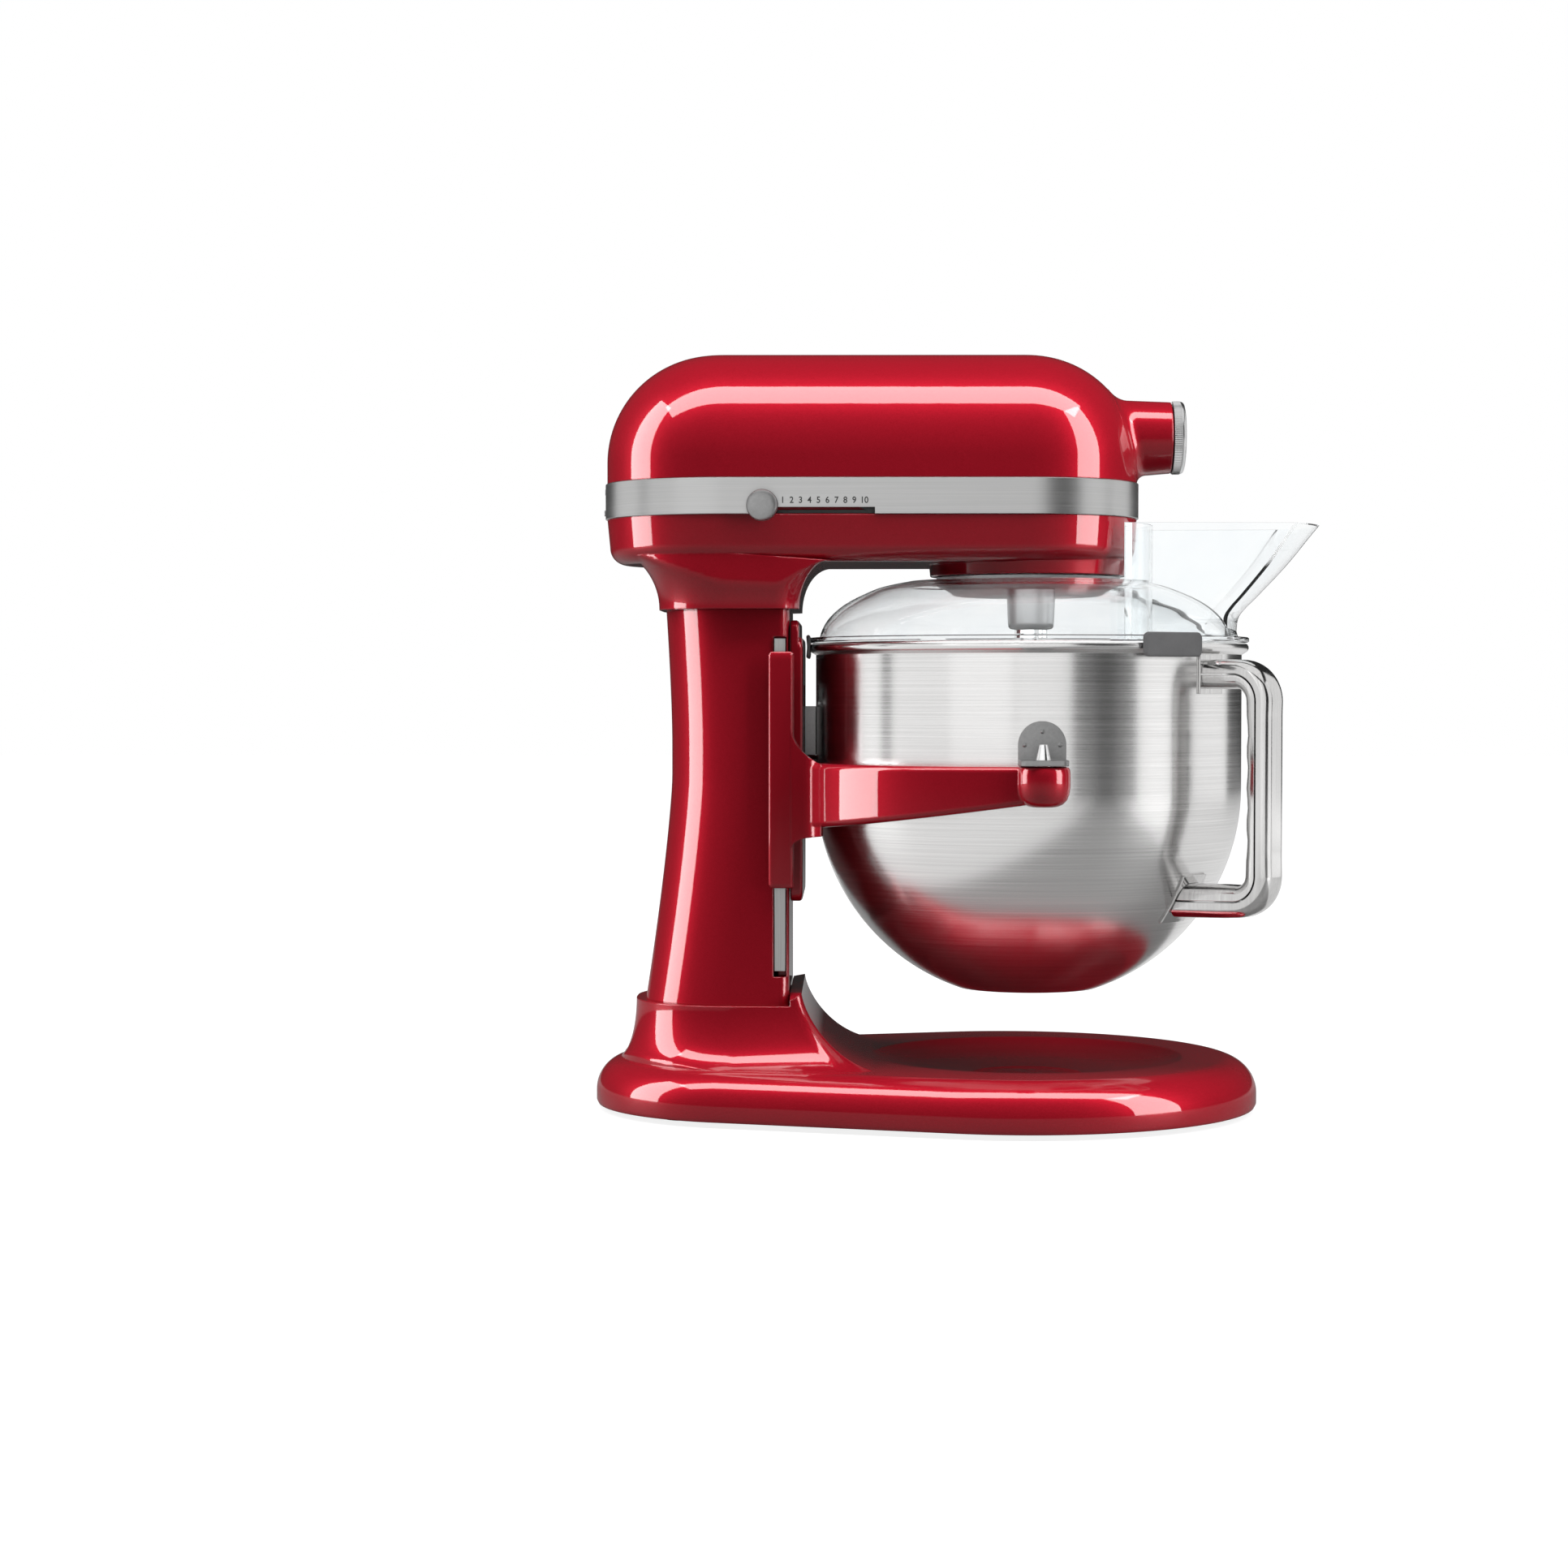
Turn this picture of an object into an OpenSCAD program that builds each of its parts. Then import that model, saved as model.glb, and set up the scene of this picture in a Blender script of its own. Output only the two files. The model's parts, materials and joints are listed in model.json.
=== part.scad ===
// Bowl-lift stand mixer: a planetary mixer whose bowl hangs on a yoke that slides on the column.
// X points forward, Z up. The origin is on the floor under the middle of the overall box.

/* [Base] */
// Radius of the base's front lobe, under the bowl
base_front_r = 134; // [131:0.5:134]
// Radius of the base's rear lobe, behind the column
base_rear_r = 95; // [90:1:95]
// Height of the base's upper rim
base_top_z = 29.5; // [28:0.5:30]
// Radius of the shallow dish under the bowl
dish_r = 86; // [80:1:90]

/* [Column] */
// Half width of the column at its middle
column_half_w = 52; // [50:0.5:52]
// Wall thickness of the castings
wall = 5; // [4:0.5:5]

/* [Head] */
// Half width of the motor head
head_half_w = 66; // [64:0.5:66]
// Radius of the head's front end in plan
head_front_r = 63; // [60:0.5:64]
// Height of the head's top
head_top_z = 419; // [418:0.5:420]
// Radius of the long rounding along the head's upper edge
head_round_r = 60; // [56:1:62]
// Height of the trim band around the head
band_h = 19.6; // [16:0.2:19.6]

/* [Bowl] */
// Outer radius of the bowl
bowl_r = 118; // [112:0.5:118]
// Thickness of the bowl's sheet
bowl_wall = 1.2; // [1:0.1:1.5]

/* [Bowl lift] */
// How far the bowl is lowered for unloading
lift_travel = 40; // [38:1:42]
// Turn of the lift lever over that travel
lever_turn = 100; // [95:1:100]

/* [Drive] */
// Distance of the beater shaft from the planetary axis
beater_offset = 30; // [28:0.5:30]
// Bore of the attachment hub
hub_bore_r = 16; // [15.5:0.1:16]

/* [Hidden] */
$fn = 64;

// Running gap between a shaft and its bush, and clear gap between parts that pass each other
run_gap = 0.05;
gap = 0.4;

// Planetary and bowl axis
axis_x = 40;

// Base
base_front_x = 33;
base_rear_x = -105.7;
base_bottom_z = 3;
base_edge_r = 19;
foot_spots = [[105, 78], [105, -78], [-150, 52], [-150, -52], [140, 0]];
collar_top_z = 62;
collar_floor = 8;
horn_top_z = 69;
collar_corner_r = 55;

// Column
column_front_x = -91.8;
column_rear_x = -158;
column_bottom_z = 62;
column_top_z = 277;
column_corner_r = 46;
column_bolt_spots = [[-148, 30], [-148, -30], [-106, 38], [-106, -38]];
head_bolt_spots = [[-125, 42], [-125, -42]];
rail_z = [77.5, 262];

// Head
head_rear_x = -128.3;
head_front_x = 37;
head_floor_z = 302.5;
head_edge_r = 9.5;
cover_screw_spots = [[-150, 59], [-150, -59], [20, 60.2], [20, -60.2]];
band_z = 327.6;
cover_z = band_z + band_h / 2;
// Seat of the trim band, sunk into both housings
groove_z = [band_z - 0.1, band_z + band_h + 0.1];
groove_depth = 1.2;
slot_x = [-109, -45.6];
slot_top_z = 331.2;
round_centre_z = head_top_z - head_round_r;
neck_front_x = -86.4;
neck_rear_x = -164.2;
neck_half_w = 60;
skirt_r = 54.4;
skirt_bore_r = 50.4;
skirt_z = 296;

// Attachment hub
hub_z = 373;
hub_tip_x = 118.8;
hub_barrel_r = 19.7;
hub_cap_r = 20;
hinge_x = 120.8;
hinge_z = hub_z + 18.6;

// Gear train
motor_z = 362;
worm_r = 7.7;
wheel_spot = [-5, -30];
wheel_r = 22;
pinion_r = 13.5;
centre_gear_r = 40;
shaft_r = 8;
plate_z = head_floor_z + wall;
plate_h = 4.5;
planet_pinion_r = 13.5;
beater_shaft_r = 6.2;
beater_end_r = 6;
cross_pin_z = 243;

// Bowl lift
lever_axis_x = -135;
lever_axis_z = 190;
crank_r = lift_travel / 2 / sin(lever_turn / 2);
crank_pin_x = lever_axis_x + crank_r * cos(lever_turn / 2);
crank_pin_z = lever_axis_z + lift_travel / 2;
roller_r = 5;
lever_shaft_r = 7;
lever_arm_len = 60;

// Yoke
yoke_in_r = 121.5;
yoke_out_r = 134.5;
yoke_top_z = 193.6;
yoke_boss_r = 14;
yoke_pin_y = 129.5;
plate_front_x = -84.6;
plate_back_x = -91.4;
yoke_flange_z = [125.7, 253.8];
// Side outline of the web between each flange and its arm
yoke_web = [[-91.4, 147], [-91.4, 214], [-89.9, 207.5], [-86.5, 201.8], [-81.5, 197.2], [-75, yoke_top_z],
    [-75, 154.2], [-84, 152.6], [-89, 150.6]];

// Bowl
bowl_centre_z = 179;
bowl_foot_z = 67.5;
bowl_rim_z = 259;
rim_bead_r = 2.7;
handle_turn = -38;
handle_w = 20;

// Shield
shield_wall = 2;
shield_dome_line = [[116, 262], [114.4, 267], [111, 272.6], [105.5, 278], [99, 282.4], [91, 286.4],
    [83, 289.7], [75, 291.7], [66, 293.4]];
chute_in_r = 67;
chute_half_w = 45;
chute_z = [262, 324];
// Rubber pads on the dome's flange: inner radius, bottom and top
pad_in_r = 122.4;
pad_z = [250.6, 263.5];
// Reach of the chute's outer wall at each height
chute_line = [[262, 115], [272, 116], [278, 120], [285, 127], [302, 143], [318, 156], [324, 161]];

red = [0.62, 0.05, 0.1];
steel = [0.78, 0.78, 0.8];
grey = [0.45, 0.45, 0.46];
dark = [0.12, 0.12, 0.12];
brass = [0.75, 0.6, 0.3];
clear = [0.85, 0.9, 0.92, 0.35];

// ---- Outlines: lists of [x, y], counterclockwise ----

// Points on an arc about [cx, cy] from angle a0 to a1
function arc_pts(cx, cy, r, a0, a1, n) =
    [for (i = [0:n]) let (a = a0 + (a1 - a0) * i / n) [cx + r * cos(a), cy + r * sin(a)]];

// Outline of two circles on the X axis and their common tangents
function lobes(x1, r1, x2, r2, n = 12) =
    let (a = acos((r2 - r1) / (x1 - x2)))
    concat(arc_pts(x1, 0, r1, -a, a, n), arc_pts(x2, 0, r2, a, 360 - a, n));

// D-shaped outline with small front corners and large rear corners
function dee(xr, xf, w, rf, rr, n = 5) =
    concat(arc_pts(xf - rf, rf - w, rf, -90, 0, n), arc_pts(xf - rf, w - rf, rf, 0, 90, n),
        arc_pts(xr + rr, w - rr, rr, 90, 180, n), arc_pts(xr + rr, rr - w, rr, 180, 270, n));

function at_height(outline, z) = [for (p = outline) [p[0], p[1], z]];
function middle(ring) = [for (k = [0:2]) (min([for (p = ring) p[k]]) + max([for (p = ring) p[k]])) / 2];

// ---- Solids lofted through rings of equal length ----

function side_faces(n, k, start = 0) = [for (j = [0:k - 2]) for (i = [0:n - 1])
    let (a = start + j * n + i, b = start + j * n + (i + 1) % n)
    each [[a, a + n, b + n], [a, b + n, b]]];
function turned(faces) = [for (f = faces) [f[0], f[2], f[1]]];

module loft(rings) {
    n = len(rings[0]);
    k = len(rings);
    last = (k - 1) * n;
    polyhedron(
        concat([for (r = rings) each r], [middle(rings[0]), middle(rings[k - 1])]),
        concat(side_faces(n, k),
            [for (i = [0:n - 1]) [k * n, i, (i + 1) % n]],
            [for (i = [0:n - 1]) [k * n + 1, last + (i + 1) % n, last + i]]));
}

// A cup: open at the first ring, closed at the last one
module cup(outer, inner) {
    n = len(outer[0]);
    ko = len(outer);
    ki = len(inner);
    s = ko * n;
    e = s + ki * n;
    polyhedron(
        concat([for (r = outer) each r], [for (r = inner) each r],
            [middle(outer[ko - 1]), middle(inner[ki - 1])]),
        concat(side_faces(n, ko), turned(side_faces(n, ki, s)),
            [for (i = [0:n - 1]) each [[i, (i + 1) % n, s + (i + 1) % n], [i, s + (i + 1) % n, s + i]]],
            [for (i = [0:n - 1]) [e, s - n + (i + 1) % n, s - n + i]],
            [for (i = [0:n - 1]) [e + 1, e - n + i, e - n + (i + 1) % n]]));
}

// A sleeve: open at both ends
module sleeve(outer, inner) {
    n = len(outer[0]);
    k = len(outer);
    s = k * n;
    polyhedron(
        concat([for (r = outer) each r], [for (r = inner) each r]),
        concat(side_faces(n, k), turned(side_faces(n, k, s)),
            [for (i = [0:n - 1]) each [[i, (i + 1) % n, s + (i + 1) % n], [i, s + (i + 1) % n, s + i]]],
            [for (i = [0:n - 1]) let (a = s - n, b = 2 * s - n, j = (i + 1) % n)
                each [[a + i, b + j, a + j], [a + i, b + i, b + j]]]));
}

// ---- Small helpers ----

module along_x(x, y, z) { translate([x, y, z]) rotate([0, 90, 0]) children(); }
module along_y(x, y, z) { translate([x, y, z]) rotate([-90, 0, 0]) children(); }
module tube(r_in, r_out, h) {
    difference() {
        cylinder(r = r_out, h = h);
        translate([0, 0, -1]) cylinder(r = r_in, h = h + 2);
    }
}
module box(x, y, z) { translate([x[0], y[0], z[0]]) cube([x[1] - x[0], y[1] - y[0], z[1] - z[0]]); }
module on_axis() { translate([axis_x, 0, 0]) children(); }
module toothed(r, depth, teeth, h) {
    linear_extrude(h) polygon([for (i = [0:teeth * 4 - 1])
        let (a = 360 * (i - 0.5) / teeth / 4, d = (i % 4 < 2) ? 0 : depth)
            [(r - d) * cos(a), (r - d) * sin(a)]]);
}

// ---- Base ----

function base_ring(z, inset) = at_height(lobes(base_front_x, base_front_r - inset, base_rear_x,
    base_rear_r - inset, 14), z);
base_turns = [0, 18, 36, 54, 72, 90];
function base_rings(d) = concat(
    [base_ring(base_bottom_z, d + 1), base_ring(base_bottom_z + 2, d)],
    [for (a = base_turns) base_ring(base_top_z - base_edge_r - (d > 0 ? wall : 0) + base_edge_r * sin(a),
        d + base_edge_r * (1 - cos(a)))]);

// Flared foot that carries the column; the flare reaches furthest toward the bowl and stays on the base
function collar_ring(a) = [for (p = dee(-178, -85, 61, 5, collar_corner_r))
    let (c = [-131, 0], f = max(0, min(1, (p[0] + 120) / 35)), dir = (p - c) / norm(p - c),
        reach = 9 + 11 * abs(dir[1]) * (1 - f) + 66 * pow(f, 2),
        top = collar_top_z + (horn_top_z - collar_top_z) * pow(f, 4), off = reach * (1 - cos(a)),
        q = [p[0] + dir[0] * off, p[1] + dir[1] * off * (1 - 0.5 * f)], hub = [base_rear_x, 0],
        over = q[0] < base_rear_x ? max(1, norm(q - hub) / (base_rear_r - 14)) : 1,
        held = hub + (q - hub) / over)
    [held[0], held[1], top - (top - 24) * pow(sin(a), 1 + 0.35 * f)]];

// Hollow under the bowl that also sweeps up the front of the foot
module bowl_hollow() {
    on_axis() rotate_extrude() polygon([[0, 18.5], [30, 19], [60, 21.5], [76, 25], [dish_r, 29], [100, 38],
        [112, 51], [124, 75], [124, 90], [0, 90]]);
}

module base_casting() {
    color(red) difference() {
        union() {
            difference() {
                loft(base_rings(0));
                loft([for (r = base_rings(wall)) [for (p = r) p - [0, 0, r[0][2] < 6 ? 4 : 0]]]);
            }
            loft([for (a = [90, 72, 54, 36, 18, 0]) collar_ring(a)]);
            on_axis() translate([0, 0, 12]) cylinder(r = dish_r + 14, h = 12);
            for (p = foot_spots) translate([p[0], p[1], base_bottom_z]) cylinder(r = 12, h = 24);
        }
        bowl_hollow();
        linear_extrude(collar_top_z - collar_floor) polygon(dee(-170, -98, 53, 6, 46));
        box([-200, plate_back_x], [-90, 90], [collar_top_z, 90]);
        for (p = column_bolt_spots) translate([p[0], p[1], 0]) cylinder(r = 4.2, h = 80);
        for (p = foot_spots) translate([p[0], p[1], 0]) cylinder(r = 3.5, h = 12);
    }
}

module rubber_feet() {
    color(dark) for (p = foot_spots) translate([p[0], p[1], 0]) {
        cylinder(r = 10, h = base_bottom_z);
        cylinder(r = 3.5, h = 11);
    }
}

// ---- Column ----

function column_ring(z, d) =
    let (low = max(0, (185 - z) / 127), high = max(0, (z - 205) / 70))
    at_height(dee(column_rear_x - 15 * pow(low, 1.3) - 3 * pow(high, 1.5) + d, column_front_x - d,
        column_half_w + 5 * pow(low, 1.6) - d, 6, column_corner_r - d), z);
column_levels = [column_bottom_z, 80, 100, 125, 150, 185, 215, 245, column_top_z];

module column_casting() {
    color(red) difference() {
        union() {
            sleeve([for (z = column_levels) column_ring(z, 0)],
                [for (z = column_levels) column_ring(z, wall)]);
            translate([0, 0, column_bottom_z]) linear_extrude(6)
                polygon(dee(column_rear_x - 11, column_front_x - 1, 54, 5, 44));
            along_y(lever_axis_x, -37, lever_axis_z) cylinder(r = 10.5, h = 10);
            along_y(lever_axis_x, 30, lever_axis_z) cylinder(r = 13, h = 24);
            for (p = head_bolt_spots) translate([p[0], p[1], 253]) cylinder(r = 7, h = 24);
        }
        for (p = column_bolt_spots) translate([p[0], p[1], 0]) cylinder(r = 4.2, h = 80);
        along_y(lever_axis_x, -36, lever_axis_z) cylinder(r = 9, h = 12);
        along_y(lever_axis_x, 20, lever_axis_z) cylinder(r = 10, h = 50);
        box([column_front_x - wall - 1, column_front_x + 1], [-5, 5], [150, 229]);
        for (s = [-1, 1]) box([-100.4, -93.4], [s * 54.3 - 5.7, s * 54.3 + 5.7], rail_z);
        for (p = head_bolt_spots) translate([p[0], p[1], 240]) cylinder(r = 3.2, h = 40);
        along_y(-140, 40, 88) cylinder(r = 6, h = 30);
    }
}

module column_bolts() {
    color(steel) for (p = column_bolt_spots) translate([p[0], p[1], collar_top_z - collar_floor]) {
        translate([0, 0, -5]) cylinder(r = 6.5, h = 5, $fn = 6);
        cylinder(r = 4, h = collar_floor + 7);
    }
}

module slide_rails() {
    color(steel) for (s = [-1, 1])
        box([-99.9, -93.9], [s * 51 - 2.2, s * 51 + 2.2], [rail_z[0] + 3, rail_z[1] - 1]);
}

module cord_gland() {
    color(dark) along_y(-140, 43, 88) difference() {
        union() {
            cylinder(r = 5.9, h = 17);
            translate([0, 0, 12]) cylinder(r = 9, h = 4);
        }
        translate([0, 0, -1]) cylinder(r = 3.6, h = 22);
    }
}

// ---- Head ----

function head_ring(z, inset) = at_height(lobes(head_front_x, head_front_r - inset, head_rear_x,
    head_half_w - inset, 12), z);
head_turns = [0, 15, 30, 42, 54, 66, 76, 84];
function head_round(d) = [for (a = head_turns) head_ring(round_centre_z + (head_round_r - d) * sin(a),
    head_round_r - (head_round_r - d) * cos(a))];

module head_upper_cover() {
    color(red) difference() {
        union() {
            cup(concat([head_ring(cover_z, groove_depth), head_ring(groove_z[1], groove_depth),
                    head_ring(groove_z[1] + 0.05, 0)], head_round(0)),
                concat([head_ring(cover_z, wall)], head_round(wall)));
            along_x(70, 0, hub_z) cylinder(r = hub_barrel_r + 1, h = 30);
            along_x(99, 0, hub_z) cylinder(r = hub_barrel_r, h = hub_tip_x - 99);
        }
        along_x(60, 0, hub_z) cylinder(r = hub_bore_r + 2, h = 70);
        along_y(108, 0, hub_z) cylinder(r = 3, h = 30);
        for (p = cover_screw_spots) translate([p[0], p[1], cover_z - 1]) cylinder(r = 1.6, h = 8);
    }
}

// Fillet between the neck and the head's flat underside, held inside the head's outline
function neck_ring(a) = [for (p = dee(neck_rear_x, neck_front_x, neck_half_w, 14, 40))
    let (c = [(neck_rear_x + neck_front_x) / 2, 0], f = (p[0] - neck_rear_x) / (neck_front_x - neck_rear_x),
        r = 34 - 8 * f, dir = (p - c) / norm(p - c), q = p + dir * r * (1 - cos(a)),
        w = head_half_w - 3, over = q[0] < head_rear_x ? norm(q - [head_rear_x, 0]) / w : abs(q[1]) / w,
        held = over <= 1 ? q : q[0] < head_rear_x ? [head_rear_x, 0] + (q - [head_rear_x, 0]) / over
            : [q[0], q[1] / over])
    [held[0], held[1], column_top_z + r * sin(a)]];

module head_lower_housing() {
    edge = [0, 30, 60, 90];
    color(red) difference() {
        union() {
            translate([0, 0, 2 * head_floor_z]) mirror([0, 0, 1]) cup(
                concat([head_ring(2 * head_floor_z - cover_z, groove_depth),
                        head_ring(2 * head_floor_z - groove_z[0] - 0.05, groove_depth),
                        head_ring(2 * head_floor_z - groove_z[0], 0)],
                    [for (a = edge) head_ring(head_floor_z - head_edge_r + head_edge_r * sin(a),
                        1.5 + head_edge_r * (1 - cos(a)))]),
                concat([head_ring(2 * head_floor_z - cover_z, wall)],
                    [for (a = edge) head_ring(head_floor_z - head_edge_r + (head_edge_r - wall) * sin(a),
                        1.5 + wall + (head_edge_r - wall) * (1 - cos(a)))]));
            difference() {
                loft([for (a = [0:15:90]) neck_ring(a)]);
                translate([0, 0, column_top_z + 6]) linear_extrude(60)
                    polygon(dee(neck_rear_x + wall, neck_front_x - wall, neck_half_w - wall, 9, 35));
            }
            on_axis() translate([0, 0, skirt_z]) cylinder(r = skirt_r, h = head_floor_z + 2 - skirt_z);
        }
        on_axis() translate([0, 0, skirt_z - 1]) cylinder(r = skirt_bore_r, h = 30);
        translate([0, 0, column_top_z - 1]) linear_extrude(10) polygon(dee(-150, -100, 30, 6, 15));
        for (p = head_bolt_spots) translate([p[0], p[1], 270]) cylinder(r = 3.2, h = 20);
        for (p = cover_screw_spots) translate([p[0], p[1], cover_z - 8]) cylinder(r = 1.6, h = 9);
        box(slot_x, [-70, -57], [groove_z[0] + 0.4, slot_top_z]);
    }
}

module trim_band() {
    color(steel) difference() {
        sleeve([head_ring(band_z, -1), head_ring(band_z + band_h, -1)],
            [head_ring(band_z, 1), head_ring(band_z + band_h, 1)]);
        box(slot_x, [-70, -57], [band_z - 1, slot_top_z]);
    }
}

module band_screws() {
    color(steel) for (s = [-1, 1]) along_x(head_rear_x - head_half_w - 1.6, s * 3, cover_z + s * 6)
        cylinder(r = 1.6, h = 0.6);
}

module cover_screws() {
    color(steel) for (p = cover_screw_spots) translate([p[0], p[1], cover_z - 7]) cylinder(r = 1.5, h = 13);
}

module head_bolts() {
    color(steel) for (p = head_bolt_spots) translate([p[0], p[1], 262]) {
        cylinder(r = 3.1, h = 21);
        translate([0, 0, 21]) cylinder(r = 5.5, h = 5);
    }
}

// ---- Gearcase and fixed parts of the drive ----

module gearcase_plate() {
    color(grey) difference() {
        translate([0, 0, plate_z]) linear_extrude(plate_h) intersection() {
            hull() {
                translate([axis_x, 0]) circle(r = 51.8);
                translate(wheel_spot) circle(r = 22);
            }
            polygon(lobes(head_front_x, head_front_r - 11.5, head_rear_x, head_half_w - 11.5));
        }
        on_axis() cylinder(r = 12, h = 400);
        translate(wheel_spot) cylinder(r = 8, h = 400);
    }
}

module shaft_bushes() {
    color(brass) {
        translate([axis_x, 0, plate_z]) tube(shaft_r + run_gap, 12, 9);
        translate([wheel_spot[0], wheel_spot[1], plate_z]) tube(5 + run_gap, 8, 9);
        along_x(70, 0, hub_z) tube(9 + run_gap, hub_bore_r + 1.9, 8);
    }
}

module ring_gear() {
    color(steel) translate([axis_x, 0, 297]) difference() {
        cylinder(r = skirt_bore_r - 0.1, h = 8.8);
        translate([0, 0, -1]) toothed(45.6, 1.6, 52, 11);
    }
}

module hub_sleeve() {
    color(steel) difference() {
        along_x(78, 0, hub_z) cylinder(r = hub_bore_r + 1.9, h = hub_tip_x - 78.5);
        along_x(77, 0, hub_z) cylinder(r = hub_bore_r, h = 60);
        along_y(108, 0, hub_z) cylinder(r = 3.1, h = 30);
    }
}

module hub_hinge_pin() {
    color(steel) {
        along_y(hinge_x, -6, hinge_z) cylinder(r = 0.8, h = 12);
        difference() {
            box([hub_tip_x, hinge_x + 1.2], [-3, 3], [hinge_z - 1.6, hinge_z + 0.9]);
            along_y(hinge_x, -7, hinge_z) cylinder(r = 0.8, h = 14);
        }
    }
}

module motor_stator() {
    color(grey) along_x(-130, 0, motor_z) difference() {
        cylinder(r = 46, h = 46);
        translate([0, 0, -1]) cylinder(r = 28.2, h = 48);
        for (s = [-1, 1]) translate([s * 50, 0, -1]) cylinder(r = 9, h = 48);
    }
    color(brass) for (s = [-1, 1], x = [-138, -84]) along_x(x, 0, motor_z) translate([0, s * 36, 0])
        cylinder(r = 6.5, h = 8);
}

module motor_brackets() {
    color(grey) for (b = [[-176, 34], [-40, 56]]) difference() {
        along_x(b[0], 0, motor_z) union() {
            cylinder(r = 17, h = 6);
            translate([-5, -b[1], 0]) cube([10, 2 * b[1], 6]);
        }
        along_x(b[0] - 1, 0, motor_z) cylinder(r = 13, h = 8);
    }
}

module motor_bearings() {
    color(steel) for (x = [-176, -40]) along_x(x, 0, motor_z) tube(5 + run_gap, 13, 6);
}

module brush_holders() {
    color(dark) for (s = [-1, 1]) along_y(-150, s > 0 ? 14.6 : -34.6, motor_z) translate([-4, -5, 0])
        cube([8, 10, 20]);
}

module control_board() {
    color([0.1, 0.35, 0.2]) box([-112, -64], [-56.5, -55], [336, 358]);
    color(dark) for (x = [-108, -92, -76]) box([x, x + 9], [-55, -51], [339, 352]);
}

module lever_bushes() {
    color(brass) {
        along_y(lever_axis_x, -36, lever_axis_z) tube(lever_shaft_r + run_gap, 9, 8);
        along_y(lever_axis_x, 42, lever_axis_z) tube(lever_shaft_r + run_gap, 10, 12);
    }
}

// ---- Motor rotor ----

module motor_shaft() { color(steel) along_x(-179, 0, motor_z) cylinder(r = 5, h = 193); }
module armature() {
    color(brass) {
        along_x(-128, 0, motor_z) difference() {
            toothed(27.6, 3, 14, 42);
            translate([0, 0, -1]) cylinder(r = 5, h = 44);
        }
        along_x(-158, 0, motor_z) tube(5, 14, 18);
    }
}
module cooling_fan() {
    color(dark) along_x(-72, 0, motor_z) difference() {
        toothed(40, 22, 9, 12);
        translate([0, 0, -1]) cylinder(r = 5, h = 14);
    }
}
module worm() {
    color(steel) along_x(-20, 0, motor_z) difference() {
        union() {
            cylinder(r = worm_r - 1.6, h = 30);
            for (i = [0:6]) translate([0, 0, i * 4.3]) cylinder(r = worm_r, h = 2);
        }
        translate([0, 0, -1]) cylinder(r = 5, h = 32);
    }
}

// ---- Intermediate shaft ----

module at_wheel(z) { translate([wheel_spot[0], wheel_spot[1], z]) children(); }
module intermediate_shaft() {
    color(steel) {
        at_wheel(plate_z) cylinder(r = 5, h = 66);
        at_wheel(318) difference() {
            toothed(pinion_r, 1.5, 16, 9);
            translate([0, 0, -1]) cylinder(r = 5, h = 11);
        }
    }
}
module worm_wheel() {
    color(brass) at_wheel(356) difference() {
        toothed(wheel_r, 1.8, 32, 12);
        translate([0, 0, -1]) cylinder(r = 5, h = 14);
    }
}

// ---- Planetary ----

module centre_shaft() { color(steel) translate([axis_x, 0, 290]) cylinder(r = shaft_r, h = 60.4); }
module centre_gear() {
    color(steel) translate([axis_x, 0, 318]) difference() {
        toothed(centre_gear_r, 1.5, 48, 9);
        translate([0, 0, -1]) cylinder(r = shaft_r, h = 11);
    }
}
module crown_gear() {
    color(steel) translate([axis_x, 0, 340]) difference() {
        union() {
            cylinder(r = 15, h = 10.4);
            toothed(24, 2, 30, 7);
        }
        translate([0, 0, -1]) cylinder(r = shaft_r, h = 13);
    }
}

module at_beater(z) { translate([axis_x, -beater_offset, z]) children(); }
module planetary_hub() {
    color(grey) difference() {
        union() {
            on_axis() rotate_extrude() polygon([[0, 288], [43, 288], [46.5, 289.4], [49.6, 292], [51, 295],
                [51, 295.6], [14, 295.6], [14, 296.6], [0, 296.6]]);
            at_beater(269.5) cylinder(r = 12.9, h = 20);
            at_beater(267.6) cylinder(r1 = 11.6, r2 = 12.9, h = 1.9);
        }
        on_axis() cylinder(r = shaft_r, h = 400);
        at_beater(200) cylinder(r = beater_shaft_r + run_gap, h = 200);
    }
}

module beater_shaft() {
    color(steel) difference() {
        union() {
            at_beater(238) cylinder(r = beater_shaft_r, h = 67);
            at_beater(224) cylinder(r = beater_end_r, h = 14);
            at_beater(222.6) cylinder(r1 = beater_end_r - 1.4, r2 = beater_end_r, h = 1.4);
        }
        at_beater(cross_pin_z) rotate([0, 90, 0]) translate([0, 0, -20]) cylinder(r = 2, h = 40);
    }
}
module planet_pinion() {
    color(steel) at_beater(298) difference() {
        toothed(planet_pinion_r, 1.5, 16, 7);
        translate([0, 0, -1]) cylinder(r = beater_shaft_r, h = 9);
    }
}
module shaft_collar() { color(steel) at_beater(264) tube(beater_shaft_r, 9, 3.3); }
module shaft_cross_pin() {
    color(steel) at_beater(cross_pin_z) rotate([0, 90, 0]) translate([0, 0, -11]) cylinder(r = 2, h = 22);
}

// ---- Attachment hub ----

module hub_drive_shaft() {
    color(steel) difference() {
        along_x(53, 0, hub_z) cylinder(r = 9, h = 24.6);
        box([65, 90], [-4.8, 4.8], [hub_z - 4.8, hub_z + 4.8]);
    }
}
module hub_gear() {
    color(steel) along_x(57, 0, hub_z) difference() {
        toothed(21.8, 2, 28, 7);
        translate([0, 0, -1]) cylinder(r = 9, h = 9);
    }
}

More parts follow.
